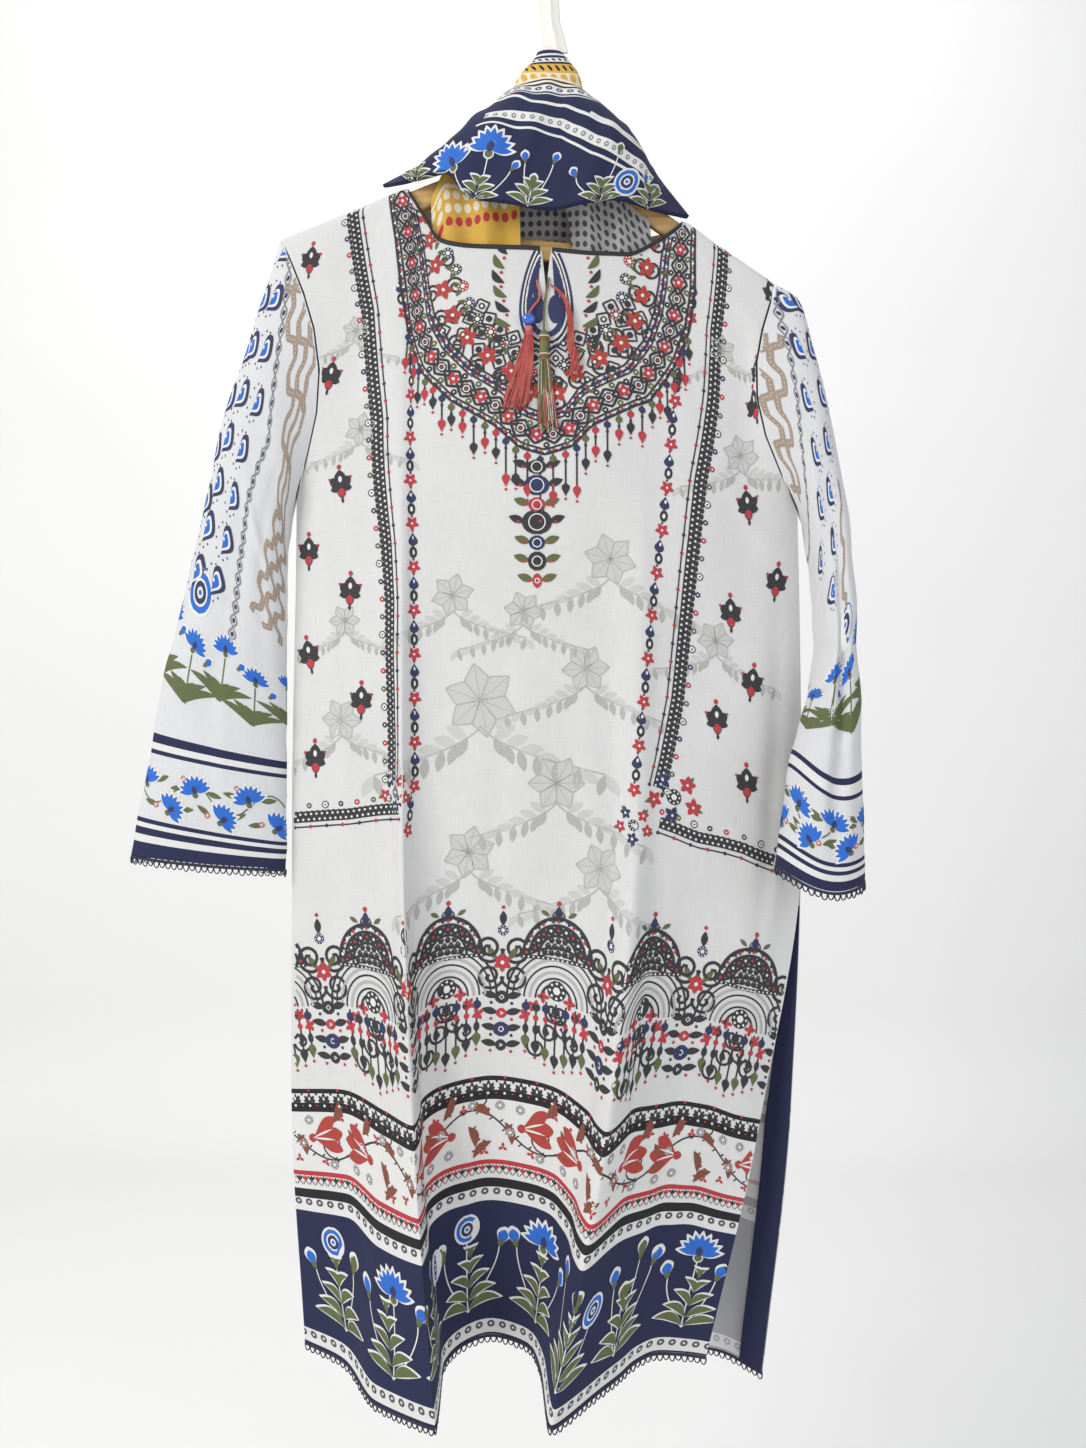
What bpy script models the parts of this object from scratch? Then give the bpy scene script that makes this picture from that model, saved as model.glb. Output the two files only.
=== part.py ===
"""A lawn suit on a wooden hanger: printed kameez with its dupatta folded over the hanger's neck.

Sizes are in millimetres and become metres when a mesh is made. X runs to the viewer's right, Y away
from the viewer, Z up. The origin is the inner top of the white hook that the hanger hangs from.
"""
import math

import bmesh
import bpy
import numpy as np
from mathutils.bvhtree import BVHTree

MM = 0.001

# Cloth and seams
WALL = 1.5
SHAWL_WALL = 1.8
TRIM_WALL = 1.0
SEAM = 0.3
SEAM_Y = 2.0

# Cloth levels, measured down the grain from the hook
CHEST = 504.0
WAIST = 780.0
THIGH = 1013.0
HEM = 1249.0
SLIT_SHARE = 0.22
TOP_SHARES = (0.0, 0.013, 0.04, 0.10, SLIT_SHARE, 0.36, 0.52, 0.68, 0.84)
ROWS_BELOW_CHEST = (5, 5, 6)

# Shoulder and armholes: tips, underarms, how far the seam curves in and how deep it stands
LEFT_TIP = (-238.0, -270.0)
LEFT_UNDERARM = (-225.0, -504.0)
RIGHT_TIP = (205.0, -310.5)
RIGHT_UNDERARM = (225.0, -515.0)
LEFT_NECK = (-126.0, -225.0)
RIGHT_NECK = (122.4, -254.0)
ARMHOLE_FRONT_CURVE = 30.0
ARMHOLE_BACK_CURVE = 14.0
ARMHOLE_DEPTH = 14.0

# Front panel: one row a fold line. At the top edge x, y, z; at each level x, y and how far the
# grain hangs below the level. Columns is how many faces lie between this line and the next.
FRONT_LINES = (
    # name, columns, top edge, chest, waist, thigh, hem
    ("left seam", 2, (-238, -2, -270), (-225, -2, 0), (-229, -2, 9), (-229, -5, 20), (-217, -5, 9)),
    ("left trough", 2, (-205, -2, -256.7), (-180, -16, 0),
     (-183, -15, 5), (-178, -22, 16), (-178, -24, 17)),
    ("left ridge foot", 2, (-160, -2, -238.6), (-146, -24, 0),
     (-139, -30, 2), (-141, -46, 26), (-146, -62, 31)),
    ("left ridge", 1, (-126, -2, -225), (-127, -31, 0), (-125, -46, 2), (-113, -72, 30), (-92, -96, 32)),
    ("neck left turn", 1, (-123.4, -9.8, -229), (-123, -30, 0),
     (-122, -42, 2), (-110, -62, 27), (-90, -72, 22)),
    ("left ridge back", 1, (-109, -12, -252), (-118, -28, 0),
     (-116, -34, 2), (-110, -47, 20), (-90, -46, 12)),
    ("neck left", 2, (-95, -15, -274), (-98, -30, 0), (-96, -30, 1), (-92, -36, 8), (-78, -20, 6)),
    ("middle trough", 3, (-68, -19, -281), (-55, -34, 0), (-52, -34, 0), (-50, -33, 0), (-50, -10, 0)),
    ("slit left", 1, (-6.2, -23, -285), (-5, -36, 0), (-5, -35, 0), (-12, -38, 3), (-24, -20, 1)),
    ("slit right", 2, (4.3, -23, -286), (5, -36, 0), (8, -35, 0), (4, -43, 6), (-13, -32, 2)),
    ("right ridge foot", 2, (46, -22, -289), (48, -35, 1), (56, -34, 1), (33, -62, 20), (-6, -56, 6)),
    ("right ridge", 2, (69, -20, -289), (80, -34, 2), (77, -46, 4), (49, -85, 31), (3, -96, 32)),
    ("right ridge slope", 2, (96, -15, -276.5), (98, -31, 5), (96, -37, 6), (78, -54, 21), (45, -63, 20)),
    ("neck right turn", 1, (120, -9.8, -257.6), (116, -28.5, 7),
     (112, -33, 9), (98, -44, 21), (62, -48, 16)),
    ("neck right", 2, (122.4, -2, -254), (130, -26, 9), (124, -30, 12), (112, -36, 21), (76, -34, 12)),
    ("right trough", 2, (150, -2, -273), (160, -20, 12), (152, -24, 18), (138, -30, 26), (96, -24, 9)),
    ("side fold", 2, (172, -2, -287.9), (183, -14, 13), (187, -19, 27), (166, -20, 38), (122, -22, 11)),
    ("right seam", 0, (205, -2, -310.5), (225, -2, 11), (229, -2, 32), (190, -10, 46), (140, -25, 12)),
)
SLIT_LEFT_LINE = 8
NECK_LEFT_LINE = 3
NECK_RIGHT_LINE = 14

BACK_LINES = (
    ("left seam", 2, (-238, 2, -270), (-225, 2, 0), (-229, 2, 9), (-229, 5, 20), (-217, 4, 9)),
    ("left crest", 2, (-185, 2, -248.7), (-165, 20, 0), (-168, 22, 6), (-165, 30, 14), (-160, 38, 14)),
    ("neck left", 2, (-126, 2, -225), (-115, 24, 0), (-112, 22, 4), (-108, 18, 10), (-105, 14, 6)),
    ("neck left inner", 1, (-122.6, 10, -227), (-100, 24.5, 0), (-98, 23, 3), (-94, 22, 9), (-90, 22, 7)),
    ("left of centre", 2, (-88, 14, -241), (-65, 26, 0), (-62, 28, 2), (-60, 38, 8), (-55, 48, 12)),
    ("centre", 3, (0, 17, -252), (0, 26, 2), (0, 24, 4), (0, 20, 8), (-5, 16, 6)),
    ("right of centre", 2, (86, 14, -262), (65, 26, 6), (66, 27, 10), (66, 36, 18), (60, 46, 18)),
    ("neck right inner", 1, (119.6, 10, -255.5), (102, 24.5, 8),
     (104, 22.5, 14), (104, 22, 23), (98, 22, 21)),
    ("neck right", 2, (122.4, 2, -254), (118, 24, 9), (120, 21, 16), (122, 18, 24), (112, 16, 22)),
    ("right crest", 2, (165, 2, -283), (170, 18, 12), (175, 20, 24), (176, 28, 36), (160, 32, 36)),
    ("right seam", 0, (205, 2, -310.5), (225, 2, 11), (229, 2, 32), (221, 6, 40), (196, 10, 45)),
)

BACK_NECK_LEFT_LINE = 2
BACK_NECK_RIGHT_LINE = 8

# Sleeves: one row a ring. Outer edge x, z; inner edge x, z; y of the ring's middle; how far its
# front and back stand out; how far its front middle hangs lower; depth of the front crease.
SLEEVE_LEFT = (
    # outer x, z, inner x, z, middle y, front, back, drop, crease
    (-238, -270, -225, -504, 0, 14, 14, 0, 0),
    (-253, -315, -230, -524, 0, 19, 15, 2, 0),
    (-269, -369, -232, -549, -2, 22, 16, 4, 0),
    (-290, -432, -233, -580, -3, 22, 16, 4, 1),
    (-305, -504, -233, -614, -4, 20, 15, 3, 2),
    (-321, -576, -233, -652, -5, 18, 14, 2, 2),
    (-339, -648, -233, -697, -6, 17, 13, 1, 2),
    (-353, -720, -233, -745, -6, 16, 12, 1, 1),
    (-366, -792, -233, -815, -6, 15, 12, 1, 0),
    (-372, -822, -234, -834, -6, 15, 12, 1, 0),
)
SLEEVE_RIGHT = (
    (205, -310.5, 225, -515, 0, 14, 14, 0, 0),
    (225, -324, 231, -531, -2, 22, 17, 3, 0),
    (237, -364, 233, -553, -5, 26, 19, 6, 0),
    (249, -421, 235, -577, -9, 28, 20, 8, 2),
    (260, -480, 236, -606, -14, 29, 20, 9, 4),
    (267, -547, 235, -640, -22, 30, 20, 10, 6),
    (269, -623, 228, -676, -32, 31, 20, 12, 8),
    (270, -693, 219, -704, -40, 31, 19, 14, 8),
    (270, -750, 210, -731, -46, 31, 19, 15, 6),
    (271, -801, 201, -783, -50, 31, 19, 14, 3),
    (271, -838, 195, -826, -52, 31, 19, 12, 0),
)
SLEEVE_FACES_AROUND = 20
SLEEVE_SEAM_STEP = 1.0
SLEEVE_SEAM_GAP = 0.8

# Lace: scallops below each hem
LACE_PITCH = 11.0
LACE_DEPTH = 8.0
LACE_NOTCH = 3.2
LACE_GAP = 0.65
CUFF_LACE_SHARE = 0.996

# Neck binding and the facing inside the back panel's right slit
BINDING_WIDTH = 4.5
BINDING_GAP = 0.5
BINDING_START = 1.0
BINDING_STEPS = 14
SLIT_TOP = 835.0
FACING_WIDTH = 23.0
FACING_STAND = 0.55
FACING_ROWS = 14

# Dupatta: hood over the front, one row a line from its left end to its right end
HOOD_LINES = (
    # top, upper, lower, bottom: x, y, z
    ((-39.5, 2, -143), (-72, 2, -169), (-108, 2, -197), (-148, 0, -220)),
    ((-34.5, -9, -141), (-64, -18, -168), (-98, -20, -200), (-124, -16, -223)),
    ((-28, -13, -138), (-50, -29, -166), (-78, -34, -198), (-92, -33, -223)),
    ((-16, -16.5, -135), (-33, -36, -165), (-55, -44, -204), (-68, -44, -249)),
    ((0, -18, -133), (-8, -38, -165), (-18, -47, -208), (-30, -48, -256)),
    ((12, -17.2, -134), (13, -35, -165), (11, -43, -210), (2, -47, -261)),
    ((22, -15, -136), (30, -34, -165), (38, -44, -208), (32, -47, -255)),
    ((31, -10.5, -139), (50, -27, -166), (64, -37, -204), (62, -42, -250)),
    ((36.5, -4.5, -141), (65, -14, -168), (86, -22, -205), (96, -25, -252)),
    ((39.5, 2, -143), (76, 2, -171), (98, 2, -208), (128, 0, -248)),
)
HOOD_TURN = ((4.5, -1.5), (8.0, 2.0), (9.0, 12.0))

TURN_FADE = 5.0
TURN_LEAST = 1.0

# Crown: rings around the hanger's stem, from the peak down
CROWN_RINGS = (
    # z, left x, right x, front y, back y
    (-102, -9, 14, -6, 6),
    (-108, -12, 19, -8, 8),
    (-124, -26, 30, -13, 13),
    (-141, -34, 34, -17, 18),
    (-160, -54, 54, -25, 23),
    (-180, -76, 72, -31, 27),
    (-197, -94, 82, -33, 30),
)
CROWN_FACES_AROUND = 18
CROWN_ROWS = 9
CROWN_PLEAT = 0.05
CROWN_BACK_LENGTH = 28.0

# Folds of the dupatta inside the neck: lines from left to right, at the top, the bar and the end
FOLD_LEFT = (
    ((-104, -8, -236), (-102, -8, -280), (-100, -10, -338)),
    ((-90, -12, -214), (-86, -12, -278), (-84, -16, -342)),
    ((-76, -8, -214), (-70, -8.5, -276), (-70, -11, -344)),
    ((-58, -17, -212), (-54, -16, -277), (-56, -18, -342)),
    ((-40, -11, -210), (-36, -9, -276), (-38, -10, -340)),
    ((-26, -16, -208), (-24, -15, -276), (-26, -16, -336)),
)
FOLD_RIGHT = (
    ((10, -8.2, -208), (22, -7.2, -280), (24, -8.2, -336)),
    ((30, -16.2, -210), (36, -15.2, -282), (36, -16.2, -340)),
    ((46, -8.2, -222), (50, -8.2, -284), (50, -9.2, -344)),
    ((60, -14.2, -232), (64, -14.2, -286), (62, -16.2, -344)),
    ((76, -8.2, -244), (80, -7.2, -288), (78, -10.2, -342)),
    ((92, -7.2, -256), (94, -6.7, -290), (92, -11.2, -338)),
)
BACK_STRETCH = (
    ((-84, 9.5, -214), (-84, 9.5, -262), (-82, 10.5, -336)),
    ((-56, 11.3, -206), (-54, 11.0, -262), (-54, 13.5, -346)),
    ((-26, 9.5, -200), (-26, 9.5, -264), (-26, 11, -350)),
    ((4, 12, -198), (4, 11.8, -264), (4, 14, -352)),
    ((32, 9.5, -204), (34, 9.5, -266), (34, 11, -350)),
    ((58, 11.3, -216), (62, 11.0, -268), (62, 13.5, -348)),
    ((82, 9.5, -232), (88, 9.0, -272), (88, 10.5, -344)),
)

# Hanger
ARM_HEIGHT = 21.0
ARM_THICKNESS = 11.0
ARM_LEFT_END = -216.0
ARM_RIGHT_END = 182.0
ARM_BELOW_SHOULDER = 3.6
ARM_PEAK_ROUNDING = 9.0
BAR_HEIGHT = 19.0
BAR_THICKNESS = 9.0
BAR_LEFT = (-180.0, -262.0)
BAR_RIGHT = (164.0, -298.0)
BEAM_END = 0.72
STEM_RADIUS = 2.5
STEM_X = 3.0
STEM_TOP = -102.1
STEM_STAND = 0.45
HOOK_WIDTH = 20.0
HOOK_THICKNESS = 2.5
HOOK_RADIUS = 9.0
HOOK_TAIL = 34.0
HOOK_TAIL_WIDTH = 18.0
HOOK_SHANK = (
    # x, y, z, width: the flared foot and up to the bend
    (7.0, 0.0, -101.7, 25.0),
    (5.0, 0.0, -88.0, 22.0),
    (2.0, -1.0, -74.0, HOOK_WIDTH),
    (1.0, -4.0, -58.0, HOOK_WIDTH),
    (0.0, -8.0, -38.0, HOOK_WIDTH),
)

# Neck tie: cord routes and tassels. x and z are on the front of the yoke, lift is how far the cord
# rises off it on its way into the next piece.
CORD_RADIUS = 1.1
TIE_STAND = 0.4
STRAND_LIFT = 2.0
CORD_LEFT_ROUTE = (
    # x, z, lift
    (-9.0, -316, 0.0),
    (-8.0, -322, 0.0),
    (-6.0, -328.5, 0.0),
    (-7.5, -334, 0.0),
    (-12.0, -340, 0.8),
    (-15.7, -346.5, 3.2),
)
CORD_RIGHT_ROUTE = (
    (1.5, -314, 0.0),
    (0.6, -320, 0.0),
    (-1.0, -328, 0.0),
    (-2.0, -336, 0.0),
    (-2.6, -345, 0.0),
    (-2.8, -353, 0.6),
    (-2.6, -362.3, 2.4),
)
CORD_POINTS = 16
BEAD_CENTRE = (-16.0, -352.2)
BEAD_RADIUS = 5.4
BEAD_SHAPE = (1.1, 0.8, 0.95)
TASSELS = (
    # name, head top x, z, head radius, head length, strand length, spread at the ends, lean
    ("tassel_left", -16.0, -357.65, 3.6, 8.0, 66.0, 10.0, -12.0),
    ("tassel_middle", -2.6, -362.6, 4.6, 26.0, 62.0, 9.0, 3.0),
)
TASSEL_CELLS = (6, 3)
SKEIN_TOP = (3.4, -327.0)
SKEIN_HEAD_RADIUS = 3.6
SKEIN_HEAD_LENGTH = 8.0
SKEIN_ROUTE = ((9, -8), (15, -20), (17, -36), (17, -52), (21, -68), (18, -84))
SKEIN_CELLS = (4, 2)
HEAD_DEPTH = 0.75
HEAD_RINGS = ((0.0, 0.55), (0.15, 1.0), (0.5, 0.92), (0.85, 1.0), (1.0, 0.95))
STRAND_INSET = 0.24
STRAND_TAPER = 0.95
STRAND_UNEVEN = 0.05

# Plain finishes: red, green, blue, roughness, metallic
FINISHES = {
    "lawn": (0.78, 0.78, 0.76, 0.80, 0.0),
    "sleeve_print": (0.62, 0.65, 0.74, 0.80, 0.0),
    "navy": (0.02, 0.03, 0.10, 0.75, 0.0),
    "lace": (0.02, 0.02, 0.06, 0.85, 0.0),
    "gold_print": (0.72, 0.50, 0.16, 0.70, 0.0),
    "grey_print": (0.38, 0.34, 0.32, 0.75, 0.0),
    "binding": (0.02, 0.02, 0.03, 0.80, 0.0),
    "wood": (0.62, 0.38, 0.15, 0.50, 0.0),
    "steel": (0.60, 0.60, 0.60, 0.30, 1.0),
    "white_plastic": (0.80, 0.79, 0.76, 0.45, 0.0),
    "thread": (0.55, 0.14, 0.10, 0.70, 0.0),
    "olive_thread": (0.28, 0.28, 0.08, 0.70, 0.0),
    "glass": (0.03, 0.12, 0.55, 0.15, 0.0),
}


def clear_scene():
    for old in list(bpy.data.objects):
        bpy.data.objects.remove(old, do_unlink=True)


def finish(name):
    """The plain material of one finish, made once."""
    made = bpy.data.materials.get(name)
    if made is None:
        red, green, blue, rough, metal = FINISHES[name]
        made = bpy.data.materials.new(name)
        made.use_nodes = True
        shader = made.node_tree.nodes["Principled BSDF"]
        shader.inputs["Base Color"].default_value = (red, green, blue, 1.0)
        shader.inputs["Roughness"].default_value = rough
        shader.inputs["Metallic"].default_value = metal
    return made


def add_object(name, mesh, finish_name):
    mesh.materials.append(finish(finish_name))
    mesh.shade_smooth()
    mesh.set_sharp_from_angle(angle=math.radians(50))
    made = bpy.data.objects.new(name, mesh)
    bpy.context.scene.collection.objects.link(made)
    return made


def slopes(knots, values):
    """Slopes that keep a smooth curve from overshooting its own points."""
    steps = np.diff(values) / np.diff(knots)
    result = np.empty(len(values))
    result[0] = steps[0]
    result[-1] = steps[-1]
    for i in range(1, len(values) - 1):
        before, after = steps[i - 1], steps[i]
        result[i] = 0.0 if before * after <= 0 else 2 * before * after / (before + after)
    return result


def glide(knots, values, at):
    """Value at one place on the smooth curve through the knots."""
    knots = np.asarray(knots, dtype=float)
    values = np.asarray(values, dtype=float)
    place = min(max(at, knots[0]), knots[-1])
    i = min(int(np.searchsorted(knots, place, side="right")) - 1, len(knots) - 2)
    width = knots[i + 1] - knots[i]
    s = (place - knots[i]) / width
    m = slopes(knots, values)
    return ((1 + 2 * s) * (1 - s) ** 2 * values[i] + s * (1 - s) ** 2 * width * m[i]
            + s * s * (3 - 2 * s) * values[i + 1] + s * s * (s - 1) * width * m[i + 1])


def armhole(left, side, share):
    """A point of the armhole seam, from the shoulder tip (0) to the underarm (1), straight between rows."""
    tip, underarm = (LEFT_TIP, LEFT_UNDERARM) if left else (RIGHT_TIP, RIGHT_UNDERARM)
    curve = (ARMHOLE_FRONT_CURVE if side < 0 else ARMHOLE_BACK_CURVE) * (1 if left else -1)
    marks = TOP_SHARES + (1.0,)
    bend = np.interp(share, marks, [curve * math.sin(math.pi * mark) for mark in marks])
    depth = np.interp(share, marks, [ARMHOLE_DEPTH * 2 * math.sqrt(mark * (1 - mark)) for mark in marks])
    x = tip[0] + (underarm[0] - tip[0]) * share + bend
    return np.array((x, side * (SEAM_Y + depth), tip[1] + (underarm[1] - tip[1]) * share))


def line_point(line, top_share, grain, side):
    """A point of one fold line. Above the chest top_share runs from 0 to 1, below it grain is used."""
    name, _, top, chest, waist, thigh, hem = line
    levels = (chest, waist, thigh, hem)
    start = -top[2]
    if name.endswith("seam") and top_share < 1:
        return armhole(name.startswith("left"), side, top_share)
    down = start + (CHEST - start) * top_share if top_share < 1 else grain
    knots = [start, CHEST, WAIST, THIGH, HEM]
    x = glide(knots, [top[0]] + [level[0] for level in levels], down)
    drop = glide(knots, [0.0] + [level[2] for level in levels], down)
    depth_knots, depths = list(knots), [top[1]] + [level[1] for level in levels]
    if abs(top[1]) <= SEAM_Y:
        depth_knots[1:1] = [start + 3, start + 9, start + 45]
        depths[1:1] = [side * 6.9, side * 9.2, side * 13.0]
    return np.array((x, glide(depth_knots, depths, down), -down - drop))


def rows():
    """Each row of a body panel as its share above the chest and its grain below it."""
    made = [(share, 0.0) for share in TOP_SHARES]
    levels = (CHEST, WAIST, THIGH, HEM)
    for start, end, count in zip(levels[:-1], levels[1:], ROWS_BELOW_CHEST):
        made += [(1.0, start + (end - start) * i / count) for i in range(count)]
    return made + [(1.0, HEM)]


def columns(lines):
    """Each column of a body panel as a place between fold lines."""
    places = []
    for i, line in enumerate(lines[:-1]):
        places += [i + k / line[1] for k in range(line[1])]
    return places + [len(lines) - 1.0]


def across(points, place):
    """The point at a place across one row of fold line points."""
    spots = [0.0]
    for before, after in zip(points[:-1], points[1:]):
        spots.append(spots[-1] + max(float(np.linalg.norm(after - before)), 1e-6))
    i = min(int(place), len(points) - 2)
    at = spots[i] + (spots[i + 1] - spots[i]) * (place - i)
    return np.array([glide(spots, [p[k] for p in points], at) for k in range(3)])


def panel_point(lines, side, top_share, grain, place):
    return across([line_point(line, top_share, grain, side) for line in lines], place)


def panel_grid(lines, side):
    grid = []
    for top_share, grain in rows():
        points = [line_point(line, top_share, grain, side) for line in lines]
        grid.append([across(points, place) for place in columns(lines)])
    return np.array(grid)


def normals(grid, closed=False):
    """Unit normals of a grid of points, pointing to the side that rows cross columns gives."""
    down = np.gradient(grid, axis=0)
    if closed:
        along = (np.roll(grid, -1, axis=1) - np.roll(grid, 1, axis=1)) / 2
    else:
        along = np.gradient(grid, axis=1)
    out = np.cross(along, down)
    return out / np.maximum(np.linalg.norm(out, axis=2, keepdims=True), 1e-9)


def shell(name, outer, inner, finish_name, closed=False, gap=None):
    """A closed wall between two grids of points. gap tells which faces are left out."""
    height, width = outer.shape[:2]
    work = bmesh.new()
    sheets = []
    for grid in (outer, inner):
        sheets.append([[work.verts.new(point * MM) for point in row] for row in grid])
    cells = []
    for i in range(height - 1):
        for j in range(width if closed else width - 1):
            if gap is None or not gap(i, j):
                cells.append((i, j, (j + 1) % width))
    sides = {}
    for i, j, k in cells:
        corners = ((i, j), (i + 1, j), (i + 1, k), (i, k))
        work.faces.new([sheets[0][a][b] for a, b in corners])
        work.faces.new([sheets[1][a][b] for a, b in reversed(corners)])
        for start, end in zip(corners, corners[1:] + corners[:1]):
            key = frozenset((start, end))
            if key in sides:
                del sides[key]
            else:
                sides[key] = (start, end)
    for (a, b), (c, d) in sides.values():
        work.faces.new((sheets[0][c][d], sheets[0][a][b], sheets[1][a][b], sheets[1][c][d]))
    loose = [vert for vert in work.verts if not vert.link_faces]
    bmesh.ops.delete(work, geom=loose, context="VERTS")
    bmesh.ops.recalc_face_normals(work, faces=work.faces)
    mesh = bpy.data.meshes.new(name)
    work.to_mesh(mesh)
    work.free()
    return add_object(name, mesh, finish_name)


def body_panel(name, lines, side, gap=None):
    """Front or back panel: its outer sheet, its wall kept on its own side of the seams."""
    outer = panel_grid(lines, side)
    out = normals(outer)
    if out[:, :, 1].mean() * side < 0:
        out = -out
    inner = outer - out * WALL
    inner[..., 1] = side * np.maximum(side * inner[..., 1], SEAM / 2)
    shell(name, outer, inner, "lawn", gap=gap)
    return outer


def front_gap(row, column):
    slit_column = sum(line[1] for line in FRONT_LINES[:SLIT_LEFT_LINE])
    return column == slit_column and row < TOP_SHARES.index(SLIT_SHARE)


def sleeve_ring(table, index, left):
    """One ring of a sleeve. The first ring follows the armhole seams of front and back."""
    row = table[index]
    outer = np.array((row[0], row[4], row[1]), dtype=float)
    inner = np.array((row[2], row[4], row[3]), dtype=float)
    front, back, drop, crease = row[5:]
    fade = max(0.0, 1 - index / (len(table) - 1) / 0.42) ** 2
    ring = []
    for k in range(SLEEVE_FACES_AROUND):
        turn = 2 * math.pi * k / SLEEVE_FACES_AROUND
        share = (1 - math.cos(turn)) / 2
        side = -1 if turn <= math.pi else 1
        seam = armhole(left, side, share)
        straight = armhole(left, side, 0.0) * (1 - share) + armhole(left, side, 1.0) * share
        swell = 2 * math.sqrt(max(share * (1 - share), 0.0))
        point = outer + (inner - outer) * share
        point[0] += (seam[0] - straight[0]) * fade
        stand = (front if side < 0 else back) * swell
        point[1] += side * (stand + SEAM_Y * fade * min(1.0, 4 * swell))
        if side < 0:
            point[1] += crease * math.exp(-((share - 0.45) / 0.12) ** 2)
            point[2] -= drop * math.sin(math.pi * share)
        ring.append(point)
    return ring


def sleeve(name, table, left):
    grid = np.array([sleeve_ring(table, i, left) for i in range(len(table))])
    step = grid[1] - grid[0]
    step /= np.linalg.norm(step, axis=1, keepdims=True)
    grid[0] += step * SLEEVE_SEAM_STEP + np.array((-SLEEVE_SEAM_GAP if left else SLEEVE_SEAM_GAP, 0, 0))
    out = normals(grid, closed=True)
    middle = grid.mean(axis=1, keepdims=True)
    if (out * (grid - middle)).sum() < 0:
        out = -out
    inner = grid - out * WALL
    shell(name, grid, inner, "sleeve_print", closed=True)
    return grid


def scallop_path(points, closed):
    """The edge's own points with even steps of about half a scallop between them."""
    path = list(points) + ([points[0]] if closed else [])
    marks = [path[0]]
    for before, after in zip(path[:-1], path[1:]):
        count = max(1, round(float(np.linalg.norm(after - before)) / (LACE_PITCH / 2)))
        marks += [before + (after - before) * i / count for i in range(1, count + 1)]
    if closed:
        marks = marks[:-1]
        if len(marks) % 2:
            marks.insert(1, (marks[0] + marks[1]) / 2)
    return np.array(marks)


def lace(name, edge, closed=False):
    """A scalloped strip hanging from an edge, one point of the zigzag a half pitch."""
    path = scallop_path(edge, closed)
    along = np.roll(path, -1, axis=0) - np.roll(path, 1, axis=0)
    if not closed:
        along[0], along[-1] = path[1] - path[0], path[-1] - path[-2]
    out = np.stack((along[:, 1], -along[:, 0], np.zeros(len(path))), axis=1)
    out /= np.linalg.norm(out, axis=1, keepdims=True)
    top = path - np.array((0, 0, LACE_GAP))
    depth = np.array([LACE_DEPTH - (LACE_NOTCH if k % 2 == 0 else 0.0) for k in range(len(path))])
    foot = top - np.stack((0 * depth, 0 * depth, depth), axis=1)
    grid = np.stack((top, foot))
    half = out * TRIM_WALL / 2
    return shell(name, grid + half, grid - half, "lace", closed=closed)


def binding(name, places, lines, side):
    """The dark binding along a neckline stretch, made from the panel's points moved out by the seam gap."""
    grid = []
    for place in places:
        start = panel_point(lines, side, 0.0, 0.0, place)
        shares = [BINDING_WIDTH * k / 2 / (CHEST + start[2]) for k in range(3)]
        grid.append([panel_point(lines, side, share, 0.0, place) for share in shares])
    grid = np.array(grid)
    out = normals(grid)
    if out[..., 1].mean() * side < 0:
        out = -out
    low = grid + out * BINDING_GAP
    return shell(name, low + out * TRIM_WALL, low, "binding")


def spread(start, end, count):
    return [start + (end - start) * i / count for i in range(count + 1)]


def facing_strip():
    """The navy facing on the inside of the back panel, along its right slit."""
    last = len(BACK_LINES) - 1
    edge, inset = [], []
    for i in range(FACING_ROWS + 1):
        grain = SLIT_TOP + (HEM - 1.0 - SLIT_TOP) * i / FACING_ROWS
        points = [line_point(line, 1.0, grain, 1) for line in BACK_LINES]
        right = across(points, last)
        left = across(points, last - 0.5)
        width = FACING_WIDTH * min(1.0, 0.25 + 1.6 * i / FACING_ROWS)
        edge.append(right)
        inset.append(right + (left - right) / np.linalg.norm(left - right) * width)
    grid = np.stack((np.array(edge), np.array(inset)), axis=1)
    out = normals(grid)
    if out[..., 1].mean() > 0:
        out = -out
    low = grid + out * (WALL + FACING_STAND)
    return shell("slit_facing", low + out * TRIM_WALL, low, "navy")


def loft(lines, rows_each, columns_each):
    """A grid through lines of points, smooth both ways."""
    height = (len(lines[0]) - 1) * rows_each
    width = (len(lines) - 1) * columns_each
    points = np.array(lines, dtype=float)
    down = list(range(points.shape[1]))
    side = list(range(points.shape[0]))
    grid = []
    for i in range(height + 1):
        cut = [[glide(down, line[:, k], i / rows_each) for k in range(3)] for line in points]
        cut = np.array(cut)
        row = [[glide(side, cut[:, k], j / columns_each) for k in range(3)] for j in range(width + 1)]
        grid.append(row)
    return np.array(grid)


def draped_sheet(name, lines, rows_each, columns_each, facing, finish_name, turn=()):
    """A stretch of the dupatta, with its lower edge turned back where turn gives steps."""
    grid = loft(lines, rows_each, columns_each)
    bottom = grid[-1]
    upward = grid[-2] - bottom
    upward /= np.linalg.norm(upward, axis=1, keepdims=True)
    inward = -normals(grid)[-1] * (1, 1, 0)
    inward *= np.sign(inward[:, 1].mean() * -facing) / np.linalg.norm(inward, axis=1, keepdims=True)
    swell = np.minimum(1.0, np.linspace(0.0, TURN_FADE, len(bottom)))[:, None]
    swell = TURN_LEAST + (1 - TURN_LEAST) * np.minimum(swell, swell[::-1])
    for back, up in turn:
        grid = np.concatenate((grid, (bottom + (inward * back + upward * up) * swell)[None]))
    out = normals(grid)
    if out[0, :, 1].mean() * facing < 0:
        out = -out
    return shell(name, grid, grid - out * SHAWL_WALL, finish_name)


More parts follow.
